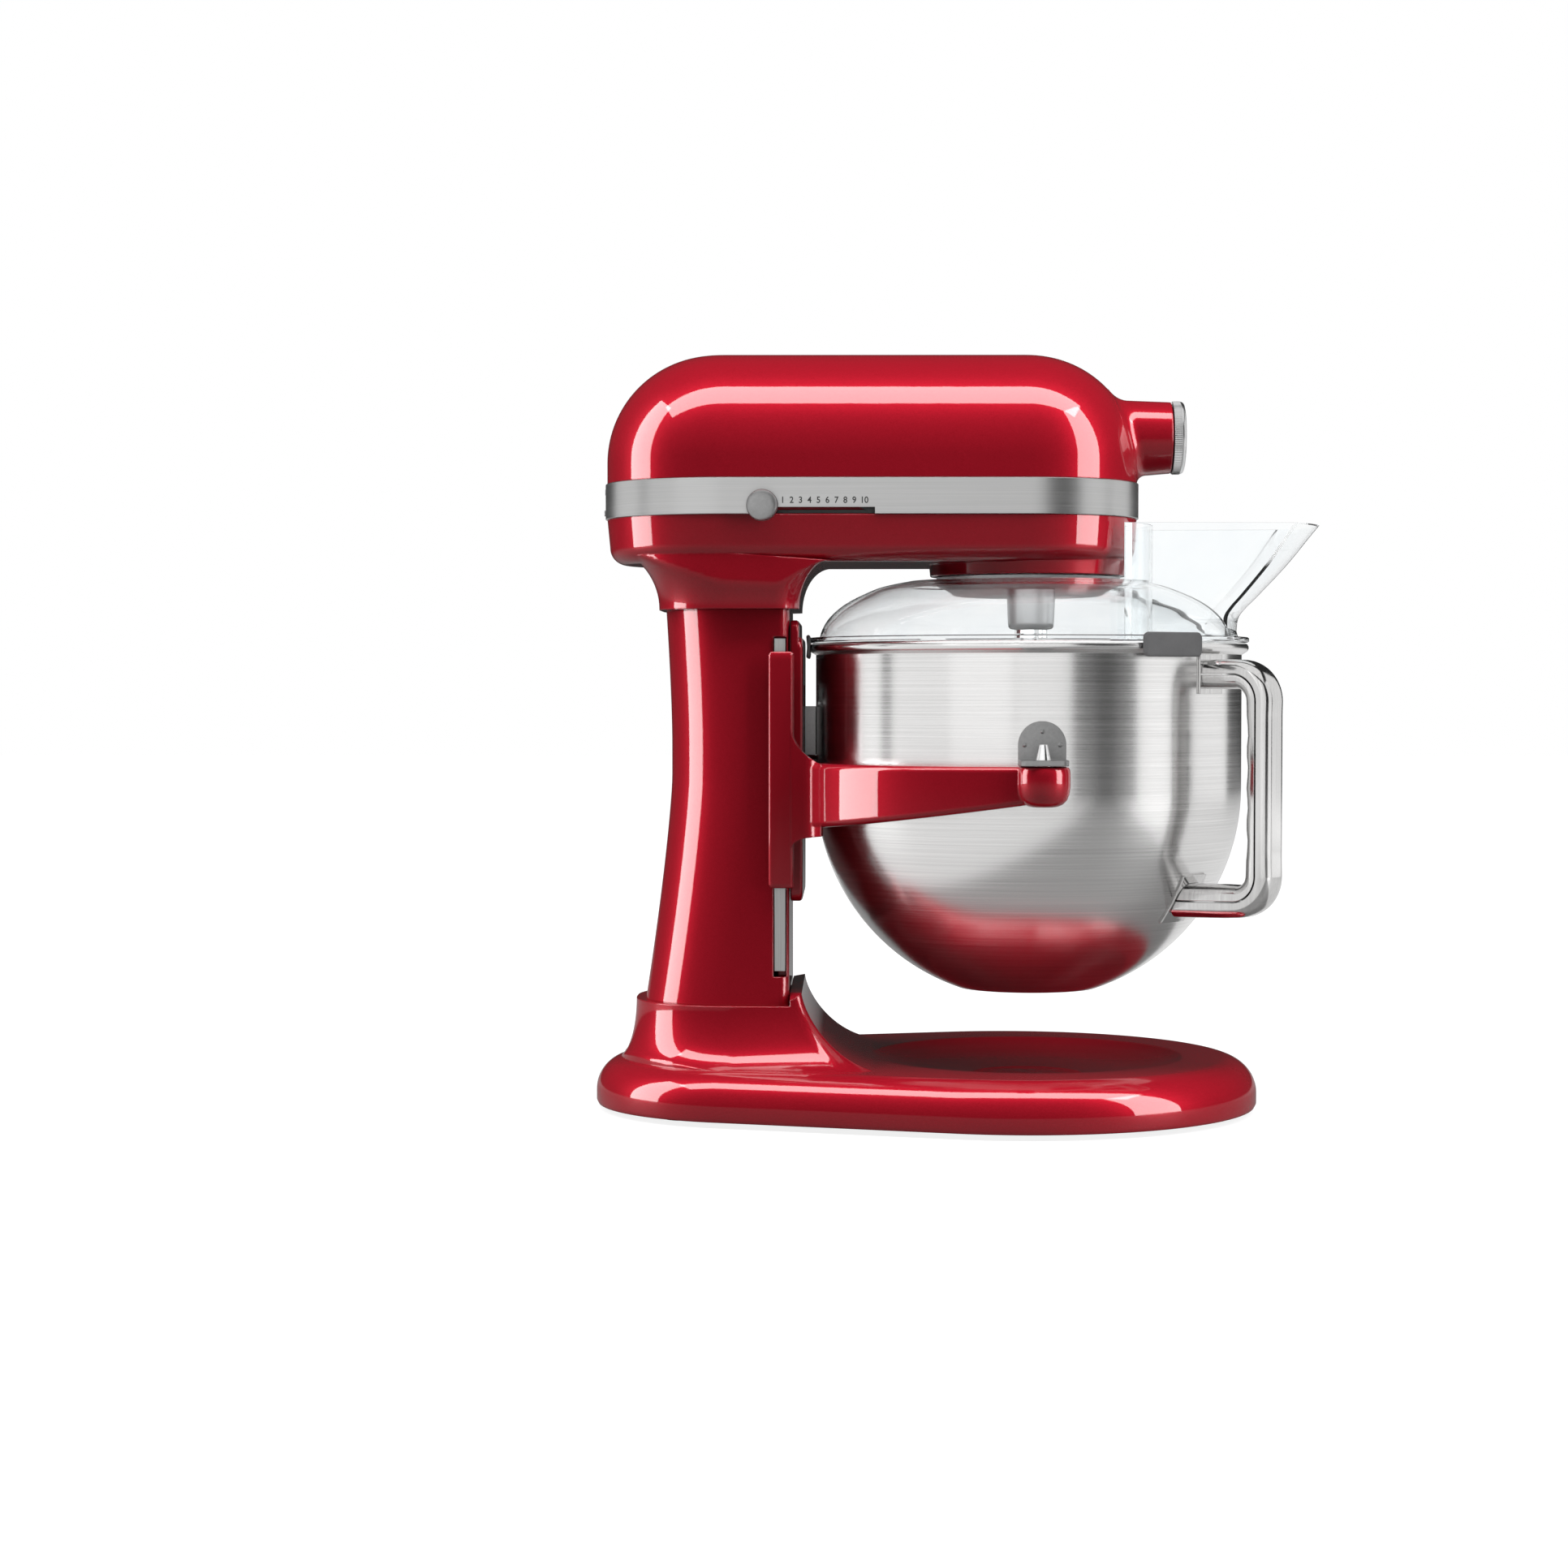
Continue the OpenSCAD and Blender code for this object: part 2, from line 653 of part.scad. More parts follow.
module hub_cover() {
    color(steel) difference() {
        union() {
            along_x(119.4, 0, hub_z) toothed(hub_cap_r + 0.3, 0.45, 72, 4.6);
            along_x(124, 0, hub_z) cylinder(r1 = hub_cap_r, r2 = hub_cap_r - 1.6, h = 2);
        }
        box([119, 130], [-6.4, 6.4], [hinge_z + 1, hinge_z + 5]);
        box([119, hinge_x + 2], [-3.5, 3.5], [hinge_z - 2.4, hinge_z + 5]);
        along_y(hinge_x, -6.4, hinge_z) cylinder(r = 0.8 + run_gap, h = 12.8);
        along_x(119, 0, hub_z) cylinder(r = hub_bore_r - 1, h = 3.4);
    }
}

module attachment_knob() {
    color(dark) {
        along_y(108, hub_bore_r + 0.3, hub_z) cylinder(r = 2.9, h = 8);
        along_y(108, 24.3, hub_z) toothed(12, 1, 18, 12);
    }
}

// ---- Speed control ----

module speed_knob() {
    color(steel) {
        along_y(-106, -72.6, 332) cylinder(r = 8.5, h = 4.4);
        along_y(-106, -74.6, 332) cylinder(r1 = 7.2, r2 = 8.5, h = 2);
    }
}
module speed_slider() {
    color(dark) box([-107.6, -104.4], [-68.2, -56.9], [328.2, 330.9]);
}

// ---- Yoke and lift ----

module yoke_casting() {
    slope = atan((174.6 - 155.7) / yoke_out_r);
    color(red) difference() {
        union() {
            intersection() {
                on_axis() translate([0, 0, 150]) tube(yoke_in_r, yoke_out_r, yoke_top_z - 150);
                box([plate_back_x, axis_x + 1], [-150, 150], [150, 200]);
                translate([-95, 0, 155.7]) rotate([0, -slope, 0]) translate([0, -150, 0])
                    cube([160, 300, 60]);
            }
            for (s = [-1, 1]) translate([axis_x + 1, s * yoke_pin_y, 0]) {
                translate([0, 0, 180]) cylinder(r = yoke_boss_r, h = yoke_top_z - 180);
                translate([0, 0, 172.6]) cylinder(r1 = 9, r2 = yoke_boss_r, h = 7.4);
            }
            box([plate_back_x, plate_front_x], [-50, 50], [118, 262]);
            box([plate_back_x, plate_front_x - 2], [-50, 50], [262, 271]);
            box([plate_back_x, plate_back_x + 1.8], [-60, 60], yoke_flange_z);
            for (s = [-1, 1]) {
                box([-102.9, plate_back_x], [s * 57.9 - 2.1, s * 57.9 + 2.1], yoke_flange_z);
                translate([0, s * 55 + 5, 0]) rotate([90, 0, 0]) linear_extrude(10) polygon(yoke_web);
            }
        }
        on_axis() translate([0, 0, 100]) cylinder(r = yoke_in_r, h = 145);
        box([plate_front_x - 4, plate_front_x + 1], [-22, 22], [192, 236]);
        box([plate_back_x - 1, plate_back_x + 3], [-3, 3], [200, 225]);
        for (s = [-1, 1]) translate([axis_x + 1, s * yoke_pin_y, 180]) cylinder(r = 3, h = 20);
    }
}

module locating_pins() {
    color(steel) for (s = [-1, 1]) translate([axis_x + 1, s * yoke_pin_y, 181]) {
        cylinder(r = 3, h = yoke_top_z - 181);
        translate([0, 0, yoke_top_z - 181]) cylinder(r1 = 4.8, r2 = 2.2, h = 11.4);
    }
}

module bowl_latch_spring() {
    color(steel) {
        box([plate_front_x - 4, plate_front_x - 3], [-14, 14], [194, 234]);
        along_y(plate_front_x - 2, -12, 226) cylinder(r = 1, h = 24);
    }
}

module lift_lug() {
    color(steel) difference() {
        box([-126, plate_front_x - 4], [-3, 3], [200, 225]);
        box([crank_pin_x - roller_r - 0.4, -100], [-4, 4],
            [crank_pin_z - roller_r - 1.7, crank_pin_z + roller_r + 1.7]);
    }
}

module at_crank(y) { translate([crank_pin_x, y, crank_pin_z]) rotate([-90, 0, 0]) children(); }

module lever_shaft() {
    color(steel) {
        along_y(lever_axis_x, -35.5, lever_axis_z) cylinder(r = lever_shaft_r, h = 101.5);
        difference() {
            translate([0, 10, 0]) rotate([90, 0, 0]) linear_extrude(6) hull() {
                translate([lever_axis_x, lever_axis_z]) circle(r = 11);
                translate([crank_pin_x, crank_pin_z]) circle(r = 6.5);
            }
            along_y(lever_axis_x, -35.5, lever_axis_z) cylinder(r = lever_shaft_r, h = 101.5);
        }
        at_crank(-3.5) cylinder(r = 3.5, h = 7.5);
    }
}

module crank_roller() { color(brass) at_crank(-3) tube(3.5, roller_r, 6); }

module lever_arm() {
    color(steel) difference() {
        translate([0, 67, 0]) rotate([90, 0, 0]) linear_extrude(6) hull() {
            translate([lever_axis_x, lever_axis_z]) circle(r = 12);
            translate([lever_axis_x, lever_axis_z + lever_arm_len]) circle(r = 7);
        }
        along_y(lever_axis_x, 40, lever_axis_z) cylinder(r = lever_shaft_r, h = 26);
        along_y(lever_axis_x, 40, lever_axis_z + lever_arm_len) cylinder(r = 3, h = 40);
    }
}

module lever_grip() {
    color(dark) along_y(lever_axis_x, 61.5, lever_axis_z + lever_arm_len) {
        cylinder(r = 3, h = 8);
        translate([0, 0, 5.7]) rotate_extrude() polygon([[0, 0], [7, 0], [8.6, 3], [9, 14], [8.4, 22],
            [6.5, 26], [3, 28], [0, 28.4]]);
    }
}

// ---- Bowl ----

// Half outline of the bowl's outer or inner surface, from the rim down to the foot
function bowl_line(r) = let (low = acos((bowl_foot_z - bowl_centre_z + bowl_r - r) / -r))
    concat([[r, bowl_rim_z - rim_bead_r]],
        [for (i = [0:14]) let (a = 90 - (90 - low) * i / 14) [r * sin(a), bowl_centre_z - r * cos(a)]]);

module bowl_shell() {
    outer = bowl_line(bowl_r);
    inner = bowl_line(bowl_r - bowl_wall);
    color(steel) on_axis() {
        rotate_extrude() polygon(concat(outer, [[0, outer[15][1]], [0, inner[15][1]]],
            [for (i = [len(inner) - 1:-1:0]) inner[i]]));
        translate([0, 0, bowl_rim_z - rim_bead_r]) rotate_extrude()
            translate([bowl_r + 1.1, 0]) circle(r = rim_bead_r, $fn = 24);
    }
}

// Space the bowl fills, used to shape what is fastened to it
module bowl_mass(r) {
    outer = bowl_line(r);
    on_axis() rotate_extrude() polygon(concat([[0, 270], [r, 270]], outer, [[0, outer[15][1]]]));
}

module bowl_side_brackets() {
    color(steel) for (s = [-1, 1]) difference() {
        union() {
            intersection() {
                on_axis() translate([0, 0, 194]) tube(bowl_r + 0.1, bowl_r + 1.7, 24);
                translate([axis_x + 1, s * bowl_r + 15, 194]) rotate([90, 0, 0]) linear_extrude(30) union() {
                    translate([-12.5, 0]) square([25, 10.5]);
                    translate([0, 10.5]) circle(r = 12.5);
                }
            }
            difference() {
                translate([axis_x - 11.5, s > 0 ? bowl_r - 2 : -143.5, 194]) cube([25, 27.5, 3]);
                on_axis() cylinder(r = bowl_r + 0.9, h = 300);
            }
        }
        translate([axis_x + 1, s * yoke_pin_y, 180]) cylinder(r = 5.4, h = 40);
    }
}

module bowl_latch_bracket() {
    color(steel) {
        for (s = [-1, 1]) box([plate_front_x + gap, axis_x - bowl_r + 0.05],
            [s * 7.5 - 1.5, s * 7.5 + 1.5], [197, 224]);
        along_y(-81.4, -6, 212) cylinder(r = 1.8, h = 12);
    }
}

// Side outline of the bowl's handle: distance from the bowl's axis, height
module handle_loop() {
    difference() {
        hull() {
            translate([139, 230]) circle(r = 20);
            translate([139, 131]) circle(r = 20);
            translate([95, 111]) square([1, 139]);
        }
        hull() {
            translate([133, 222]) circle(r = 11);
            translate([133, 141]) circle(r = 11);
            translate([90, 130]) square([1, 103]);
        }
    }
}
module handle_halfway() {
    hull() {
        translate([139, 230]) circle(r = 12.4);
        translate([139, 131]) circle(r = 11);
        translate([90, 120.6]) square([1, 121]);
    }
}
module at_handle() {
    on_axis() rotate([0, 0, handle_turn]) children();
}
module handle_shell(outer) {
    difference() {
        at_handle() rotate([90, 0, 0]) translate([0, 0, -handle_w / 2]) linear_extrude(handle_w)
            if (outer) difference() { handle_loop(); handle_halfway(); }
            else intersection() { handle_loop(); handle_halfway(); }
        bowl_mass(bowl_r + 1.4);
    }
}
module handle_outer_shell() { color(steel) handle_shell(true); }
module handle_inner_shell() { color(steel) handle_shell(false); }

module handle_brackets() {
    color(steel) difference() {
        intersection() {
            bowl_mass(bowl_r + 1.3);
            at_handle() union() {
                translate([80, -11, 231]) cube([60, 22, 21]);
                translate([80, -11, 108]) cube([60, 22, 26]);
            }
        }
        bowl_mass(bowl_r + 0.1);
    }
}

// ---- Pouring shield ----

function chute_reach(z) = lookup(z, chute_line);
function chute_ring(z, d) =
    let (t = (z - chute_z[0]) / (chute_z[1] - chute_z[0]), r = chute_in_r + d, w = chute_half_w - d,
        tip = chute_reach(z) - d, tip_w = chute_half_w - 6 * t - d, sag = 9.2 + 7.2 * t)
    at_height(concat(
        [for (i = [4:-1:-4]) let (y = w * i / 4) [axis_x + sqrt(r * r - y * y), y]],
        [for (i = [-4:4]) let (y = tip_w * i / 4) [axis_x + tip - sag * pow(i / 4, 2), y]]), z);
chute_levels = [for (p = chute_line) p[0]];

module shield_dome() {
    n = len(shield_dome_line);
    color(clear) difference() {
        on_axis() rotate_extrude() polygon(concat([[bowl_r + 4, bowl_rim_z + gap], [bowl_r + 4, 262]],
            shield_dome_line, [for (i = [n - 1:-1:0]) shield_dome_line[i] - [1, shield_wall]],
            [[bowl_r - 3, bowl_rim_z + gap]]));
        loft([for (z = concat([255], chute_levels)) chute_ring(z, -0.02)]);
    }
}

module shield_chute() {
    color(clear) sleeve([for (z = chute_levels) chute_ring(z, 0)],
        [for (z = chute_levels) chute_ring(z, shield_wall)]);
}

module shield_pads() {
    color(grey) on_axis() for (a = [180, 55, -55]) rotate([0, 0, a])
        rotate_extrude(angle = 18, start = -9)
            polygon([for (p = [[0, 0], [1, 0], [1, 1], [0, 1]])
                [pad_in_r + p[0] * (a == 180 ? 1.8 : 3.2), pad_z[p[1]]]]);
}

base_casting();
rubber_feet();
column_casting();
column_bolts();
slide_rails();
cord_gland();
head_lower_housing();
head_upper_cover();
trim_band();
band_screws();
cover_screws();
head_bolts();
gearcase_plate();
shaft_bushes();
ring_gear();
hub_sleeve();
hub_hinge_pin();
motor_stator();
motor_brackets();
motor_bearings();
brush_holders();
control_board();
lever_bushes();
motor_shaft();
armature();
cooling_fan();
worm();
intermediate_shaft();
worm_wheel();
centre_shaft();
centre_gear();
crown_gear();
planetary_hub();
beater_shaft();
planet_pinion();
shaft_collar();
shaft_cross_pin();
hub_drive_shaft();
hub_gear();
speed_knob();
speed_slider();
hub_cover();
attachment_knob();
yoke_casting();
locating_pins();
bowl_latch_spring();
lift_lug();
lever_shaft();
lever_arm();
lever_grip();
crank_roller();
bowl_shell();
bowl_side_brackets();
bowl_latch_bracket();
handle_outer_shell();
handle_inner_shell();
handle_brackets();
shield_dome();
shield_chute();
shield_pads();
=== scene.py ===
"""Looks of the bowl-lift stand mixer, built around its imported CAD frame."""
import json
import math

import bmesh
import bpy
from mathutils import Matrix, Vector

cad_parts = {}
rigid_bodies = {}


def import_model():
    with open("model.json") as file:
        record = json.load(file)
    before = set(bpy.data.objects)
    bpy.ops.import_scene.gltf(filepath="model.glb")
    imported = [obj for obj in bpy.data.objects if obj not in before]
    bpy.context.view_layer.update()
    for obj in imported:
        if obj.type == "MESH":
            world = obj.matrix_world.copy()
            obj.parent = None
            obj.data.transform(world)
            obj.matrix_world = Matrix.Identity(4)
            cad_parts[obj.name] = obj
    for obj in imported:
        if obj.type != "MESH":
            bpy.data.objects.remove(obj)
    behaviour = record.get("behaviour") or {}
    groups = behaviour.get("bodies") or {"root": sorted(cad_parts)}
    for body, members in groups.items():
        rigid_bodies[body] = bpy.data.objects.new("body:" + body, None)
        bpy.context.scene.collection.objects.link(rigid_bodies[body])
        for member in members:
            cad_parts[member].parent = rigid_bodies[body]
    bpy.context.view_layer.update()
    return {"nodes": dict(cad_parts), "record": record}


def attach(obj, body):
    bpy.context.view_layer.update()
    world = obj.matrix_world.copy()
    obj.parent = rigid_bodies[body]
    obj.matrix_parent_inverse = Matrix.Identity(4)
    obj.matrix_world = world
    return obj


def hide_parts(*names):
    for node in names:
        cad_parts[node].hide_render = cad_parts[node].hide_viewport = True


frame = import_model()
nodes = frame["nodes"]
scene = bpy.context.scene
MM = 0.001
AXIS_X = 40.0  # planetary and bowl axis
BEATER_Y = -30  # beater axis, across from the planetary axis
BASE_FRONT_X, BASE_FRONT_R = 33, 134  # the base's lobe under the bowl
BASE_REAR_X, BASE_REAR_R = -105.7, 95  # the base's lobe behind the column
LEVER_AXIS = (-135, 0, 190)
HUB_Z = 373  # attachment hub axis
HEAD_FRONT_X, HEAD_FRONT_R = 37, 63
HEAD_REAR_X, HEAD_REAR_R = -128.3, 66
HEAD_FLOOR_Z = 302.5  # underside of the head
HEAD_ROUND_Z, HEAD_ROUND_R = 359, 60  # where the rounding of the head's top starts, and its radius
BAND = (327.6, 347.2)  # lower and upper edge of the trim band
SLOT_X, SLOT_TOP_Z = (-109, -45.6), 331.2  # the speed slot through the band and the housing
BOWL_R = 118
PIN_Y = 129.5  # the yoke's locating pins


def sin(a):
    """Sine of an angle in degrees."""
    return math.sin(math.radians(a))


def cos(a):
    """Cosine of an angle in degrees."""
    return math.cos(math.radians(a))


# ---- Outlines in mm: lists of (x, y), counterclockwise ----

def arc(cx, cy, r, a0, a1, n):
    return [(cx + r * cos(a0 + (a1 - a0) * i / n), cy + r * sin(a0 + (a1 - a0) * i / n))
            for i in range(n + 1)]


def lobes(x1, r1, x2, r2, n=40):
    """Two circles on the X axis with their common tangents."""
    a = math.degrees(math.acos((r2 - r1) / (x1 - x2)))
    return arc(x1, 0, r1, -a, a, n) + arc(x2, 0, r2, a, 360 - a, n)


def dee(xr, xf, w, rf, rr, n=14):
    """D shape with small front corners and large rear corners."""
    return (arc(xf - rf, rf - w, rf, -90, 0, n) + arc(xf - rf, w - rf, rf, 0, 90, n)
            + arc(xr + rr, w - rr, rr, 90, 180, n) + arc(xr + rr, rr - w, rr, 180, 270, n))


def rounded(lo, hi, r, n=5):
    """Rounded rectangle from corner lo to corner hi, counterclockwise."""
    (x0, y0), (x1, y1) = lo, hi
    return (arc(x1 - r, y0 + r, r, -90, 0, n) + arc(x1 - r, y1 - r, r, 0, 90, n)
            + arc(x0 + r, y1 - r, r, 90, 180, n) + arc(x0 + r, y0 + r, r, 180, 270, n))


def at_z(outline, z):
    """The outline at one height, as 3-D points."""
    return [(x, y, z) for x, y in outline]


def spaced(a, b, n):
    """n + 1 even steps from a to b."""
    return [a + (b - a) * i / n for i in range(n + 1)]


# ---- Meshes, given in mm and stored in metres ----

def make(name, points, faces, sharp=35):
    me = bpy.data.meshes.new(name)
    me.from_pydata([(x * MM, y * MM, z * MM) for x, y, z in points], [], faces)
    me.validate()
    ob = bpy.data.objects.new(name, me)
    scene.collection.objects.link(ob)
    soften(ob, sharp)
    return ob


def soften(ob, sharp=35):
    for p in ob.data.polygons:
        p.use_smooth = True
    ob.data.set_sharp_from_angle(angle=math.radians(sharp))


def skin(name, rings, closed=False, sharp=35):
    """Closed body through rings of equal length; closed=True joins the last ring to the first."""
    n, k = len(rings[0]), len(rings)
    pts = [p for r in rings for p in r]
    faces = [(j * n + i, j * n + (i + 1) % n, ((j + 1) % k) * n + (i + 1) % n, ((j + 1) % k) * n + i)
             for j in range(k if closed else k - 1) for i in range(n)]
    for j, flip in () if closed else ((0, True), (k - 1, False)):
        r, c = rings[j], len(pts)
        pts.append(tuple((min(p[m] for p in r) + max(p[m] for p in r)) / 2 for m in range(3)))
        faces += [(c, j * n + (i + 1) % n, j * n + i) if flip else (c, j * n + i, j * n + (i + 1) % n)
                  for i in range(n)]
    return outward(make(name, pts, faces, sharp))


def cut(ob, tool, how="DIFFERENCE"):
    """Boolean of two closed bodies; the tool is used up."""
    m = ob.modifiers.new("b", "BOOLEAN")
    m.operation, m.object, m.solver = how, tool, "EXACT"
    me = bpy.data.meshes.new_from_object(ob.evaluated_get(bpy.context.evaluated_depsgraph_get()))
    ob.modifiers.clear()
    ob.data = me
    bpy.data.objects.remove(tool)
    return ob


def join(*obs):
    """One object of several bodies."""
    pts, faces = [], []
    for ob in obs:
        start = len(pts)
        pts += [tuple(v.co / MM) for v in ob.data.vertices]
        faces += [tuple(start + i for i in p.vertices) for p in ob.data.polygons]
    name = obs[0].name
    for ob in obs:
        bpy.data.objects.remove(ob)
    return make(name, pts, faces)


def turn(name, line, n=96, centre=(AXIS_X, 0, 0), axis="z", sharp=35):
    """Closed body of revolution. line is (radius, height) pairs; it closes on itself or on the axis."""
    pts, faces, index = [], [], []
    for r, h in line:
        if r < 1e-6:
            index.append([len(pts)] * n)
            pts.append((0, 0, h))
        else:
            index.append(list(range(len(pts), len(pts) + n)))
            pts += [(r * math.cos(2 * math.pi * i / n), r * math.sin(2 * math.pi * i / n), h)
                    for i in range(n)]
    on_axis = line[0][0] < 1e-6 and line[-1][0] < 1e-6
    for j in range(len(line) - (1 if on_axis else 0)):
        a, b = index[j], index[(j + 1) % len(line)]
        for i in range(n):
            f = [a[i], a[(i + 1) % n], b[(i + 1) % n], b[i]]
            f = [v for k, v in enumerate(f) if v != f[k - 1]]
            if len(f) > 2:
                faces.append(tuple(f))
    c = centre
    if axis == "x":
        pts = [(c[0] + h, c[1] + x, c[2] + y) for x, y, h in pts]
    elif axis == "y":
        pts = [(c[0] + y, c[1] + h, c[2] + x) for x, y, h in pts]
    else:
        pts = [(c[0] + x, c[1] + y, c[2] + h) for x, y, h in pts]
    return outward(make(name, pts, faces, sharp))


def block(name, x, y, z):
    return skin(name, [[(x[0], y[0], h), (x[1], y[0], h), (x[1], y[1], h), (x[0], y[1], h)] for h in z])


def outward(ob):
    """Points every face outward."""
    bm = bmesh.new()
    bm.from_mesh(ob.data)
    bmesh.ops.recalc_face_normals(bm, faces=bm.faces)
    bm.to_mesh(ob.data)
    bm.free()
    return ob


def bevel(ob, width, segments=3, angle=40):
    m = ob.modifiers.new("bevel", "BEVEL")
    m.width, m.segments, m.limit_method, m.angle_limit = width * MM, segments, "ANGLE", math.radians(angle)
    m.harden_normals = False
    me = bpy.data.meshes.new_from_object(ob.evaluated_get(bpy.context.evaluated_depsgraph_get()))
    ob.modifiers.clear()
    ob.data = me
    soften(ob)
    return ob


def place(ob, body, slot, material, *replaced, weighted=True):
    outward(ob)
    soften(ob)
    ob.data.materials.clear()
    ob.data.materials.append(material)
    if weighted:
        m = ob.modifiers.new("weighted", "WEIGHTED_NORMAL")
        m.keep_sharp = True
    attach(ob, body)
    if replaced:
        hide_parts(*replaced)
    return ob


# ---- Materials ----

class Shade:
    """A Principled material with its noise driven by object coordinates."""

    def __init__(self, name, **values):
        self.mat = bpy.data.materials.new(name)
        self.mat.use_nodes = True
        self.t = self.mat.node_tree
        self.p = self.t.nodes["Principled BSDF"]
        self.coord = self.t.nodes.new("ShaderNodeTexCoord").outputs["Object"]
        for key, value in values.items():
            self.p.inputs[key.replace("_", " ")].default_value = value

    def node(self, kind, **props):
        n = self.t.nodes.new("ShaderNode" + kind)
        for k, v in props.items():
            setattr(n, k, v)
        return n

    def link(self, a, b):
        self.t.links.new(a, b)

    def stretched(self, scale):
        m = self.node("Mapping")
        m.inputs["Scale"].default_value = scale
        self.link(self.coord, m.inputs["Vector"])
        return m.outputs["Vector"]

    def noise(self, scale, size=1.0, detail=3.0, rough=0.55):
        n = self.node("TexNoise")
        n.inputs["Scale"].default_value = size
        n.inputs["Detail"].default_value = detail
        n.inputs["Roughness"].default_value = rough
        self.link(self.stretched(scale), n.inputs["Vector"])
        return n.outputs["Fac"]

    def remap(self, value, lo, hi, a=0.3, b=0.7):
        n = self.node("MapRange")
        for key, v in (("From Min", a), ("From Max", b), ("To Min", lo), ("To Max", hi)):
            n.inputs[key].default_value = v
        self.link(value, n.inputs["Value"])
        return n.outputs["Result"]

    def colour(self, value, dark, light, a=0.3, b=0.7):
        r = self.node("ValToRGB")
        r.color_ramp.elements[0].position, r.color_ramp.elements[0].color = a, (*dark, 1)
        r.color_ramp.elements[1].position, r.color_ramp.elements[1].color = b, (*light, 1)
        self.link(value, r.inputs["Fac"])
        self.link(r.outputs["Color"], self.p.inputs["Base Color"])

    def bump(self, value, strength, distance, radius=None):
        b = self.node("Bump")
        b.inputs["Strength"].default_value = strength
        b.inputs["Distance"].default_value = distance
        self.link(value, b.inputs["Height"])
        if radius:
            v = self.node("Bevel", samples=4)
            v.inputs["Radius"].default_value = radius
            self.link(v.outputs["Normal"], b.inputs["Normal"])
        self.link(b.outputs["Normal"], self.p.inputs["Normal"])
        return b.outputs["Normal"]


def candy_red():
    """Part-metallic red under clear enamel with a faint orange peel."""
    s = Shade("candy_red", Metallic=0.35, Specular_IOR_Level=0.0, Coat_Weight=1.0, Coat_Roughness=0.01,
              Coat_IOR=1.48)
    s.colour(s.noise((2600, 2600, 2600), detail=1.0), (0.235, 0.004, 0.0105), (0.295, 0.007, 0.0165))
    s.link(s.remap(s.noise((900, 900, 900)), 0.33, 0.42), s.p.inputs["Roughness"])
    n = s.bump(s.noise((140, 140, 140), detail=1.0), 0.03, 0.0004, radius=0.0011)
    s.link(n, s.p.inputs["Coat Normal"])
    return s.mat


def brushed(name, scale, dark, light, rough, aniso=0.0, spin=0.0, radial=False, bump=0.05, radius=0.0006):
    """Ground or brushed metal; its streaks run along the axes where scale is small."""
    s = Shade(name, Metallic=1.0, Anisotropic=aniso, Anisotropic_Rotation=spin)
    streak = s.noise(scale, detail=4.0, rough=0.65)
    s.colour(streak, dark, light)
    s.link(s.remap(streak, rough[0], rough[1]), s.p.inputs["Roughness"])
    s.bump(streak, bump, 0.0003, radius=radius)
    if radial:
        t = s.node("Tangent", direction_type="RADIAL", axis="Z")
        s.link(t.outputs["Tangent"], s.p.inputs["Tangent"])
    return s.mat


def moulded(name, dark, light, rough, grain=900, bump=0.12, radius=0.0008, **values):
    """Plastic or rubber with a fine moulded grain."""
    s = Shade(name, **values)
    fine = s.noise((grain, grain, grain), detail=2.0)
    s.colour(s.noise((60, 60, 60)), dark, light)
    s.link(s.remap(fine, rough[0], rough[1]), s.p.inputs["Roughness"])
    s.bump(fine, bump, 0.0002, radius=radius)
    return s.mat


def clear():
    """Thin clear plastic."""
    s = Shade("clear_polycarbonate", Transmission_Weight=1.0, IOR=1.16, Coat_Weight=0.35, Coat_Roughness=0.02)
    s.colour(s.noise((30, 30, 30)), (0.93, 0.95, 0.96), (0.97, 0.98, 0.98))
    s.link(s.remap(s.noise((60, 60, 60)), 0.015, 0.05), s.p.inputs["Roughness"])
    return s.mat


# ---- Shapes shared by several pieces ----

def smooth(line, per=6):
    """Points on a smooth curve through a line of (a, b) pairs."""
    out = []
    for i in range(len(line) - 1):
        p = [line[max(i - 1, 0)], line[i], line[i + 1], line[min(i + 2, len(line) - 1)]]
        for k in range(per):
            t = k / per
            out.append(tuple(0.5 * (2 * p[1][c] + (p[2][c] - p[0][c]) * t
                                    + (2 * p[0][c] - 5 * p[1][c] + 4 * p[2][c] - p[3][c]) * t * t
                                    + (3 * p[1][c] - p[0][c] - 3 * p[2][c] + p[3][c]) * t ** 3)
                             for c in (0, 1)))
    return out + [tuple(line[-1])]


def cylinder(r, lo, hi, centre, axis="z", n=96):
    return turn("tool", [(0, lo), (r, lo), (r, hi), (0, hi)], n, centre, axis)


# ---- Base ----

def base_ring(z, inset):
    return at_z(lobes(BASE_FRONT_X, BASE_FRONT_R - inset, BASE_REAR_X, BASE_REAR_R - inset, 64), z)


def base_rings(d, low):
    top = 29.5 - (5 if d else 0)
    rings = [base_ring(low, d + 1), base_ring(5, d)]
    return rings + [base_ring(top - 19 + 19 * sin(a), d + 19 * (1 - cos(a))) for a in spaced(0, 90, 18)]


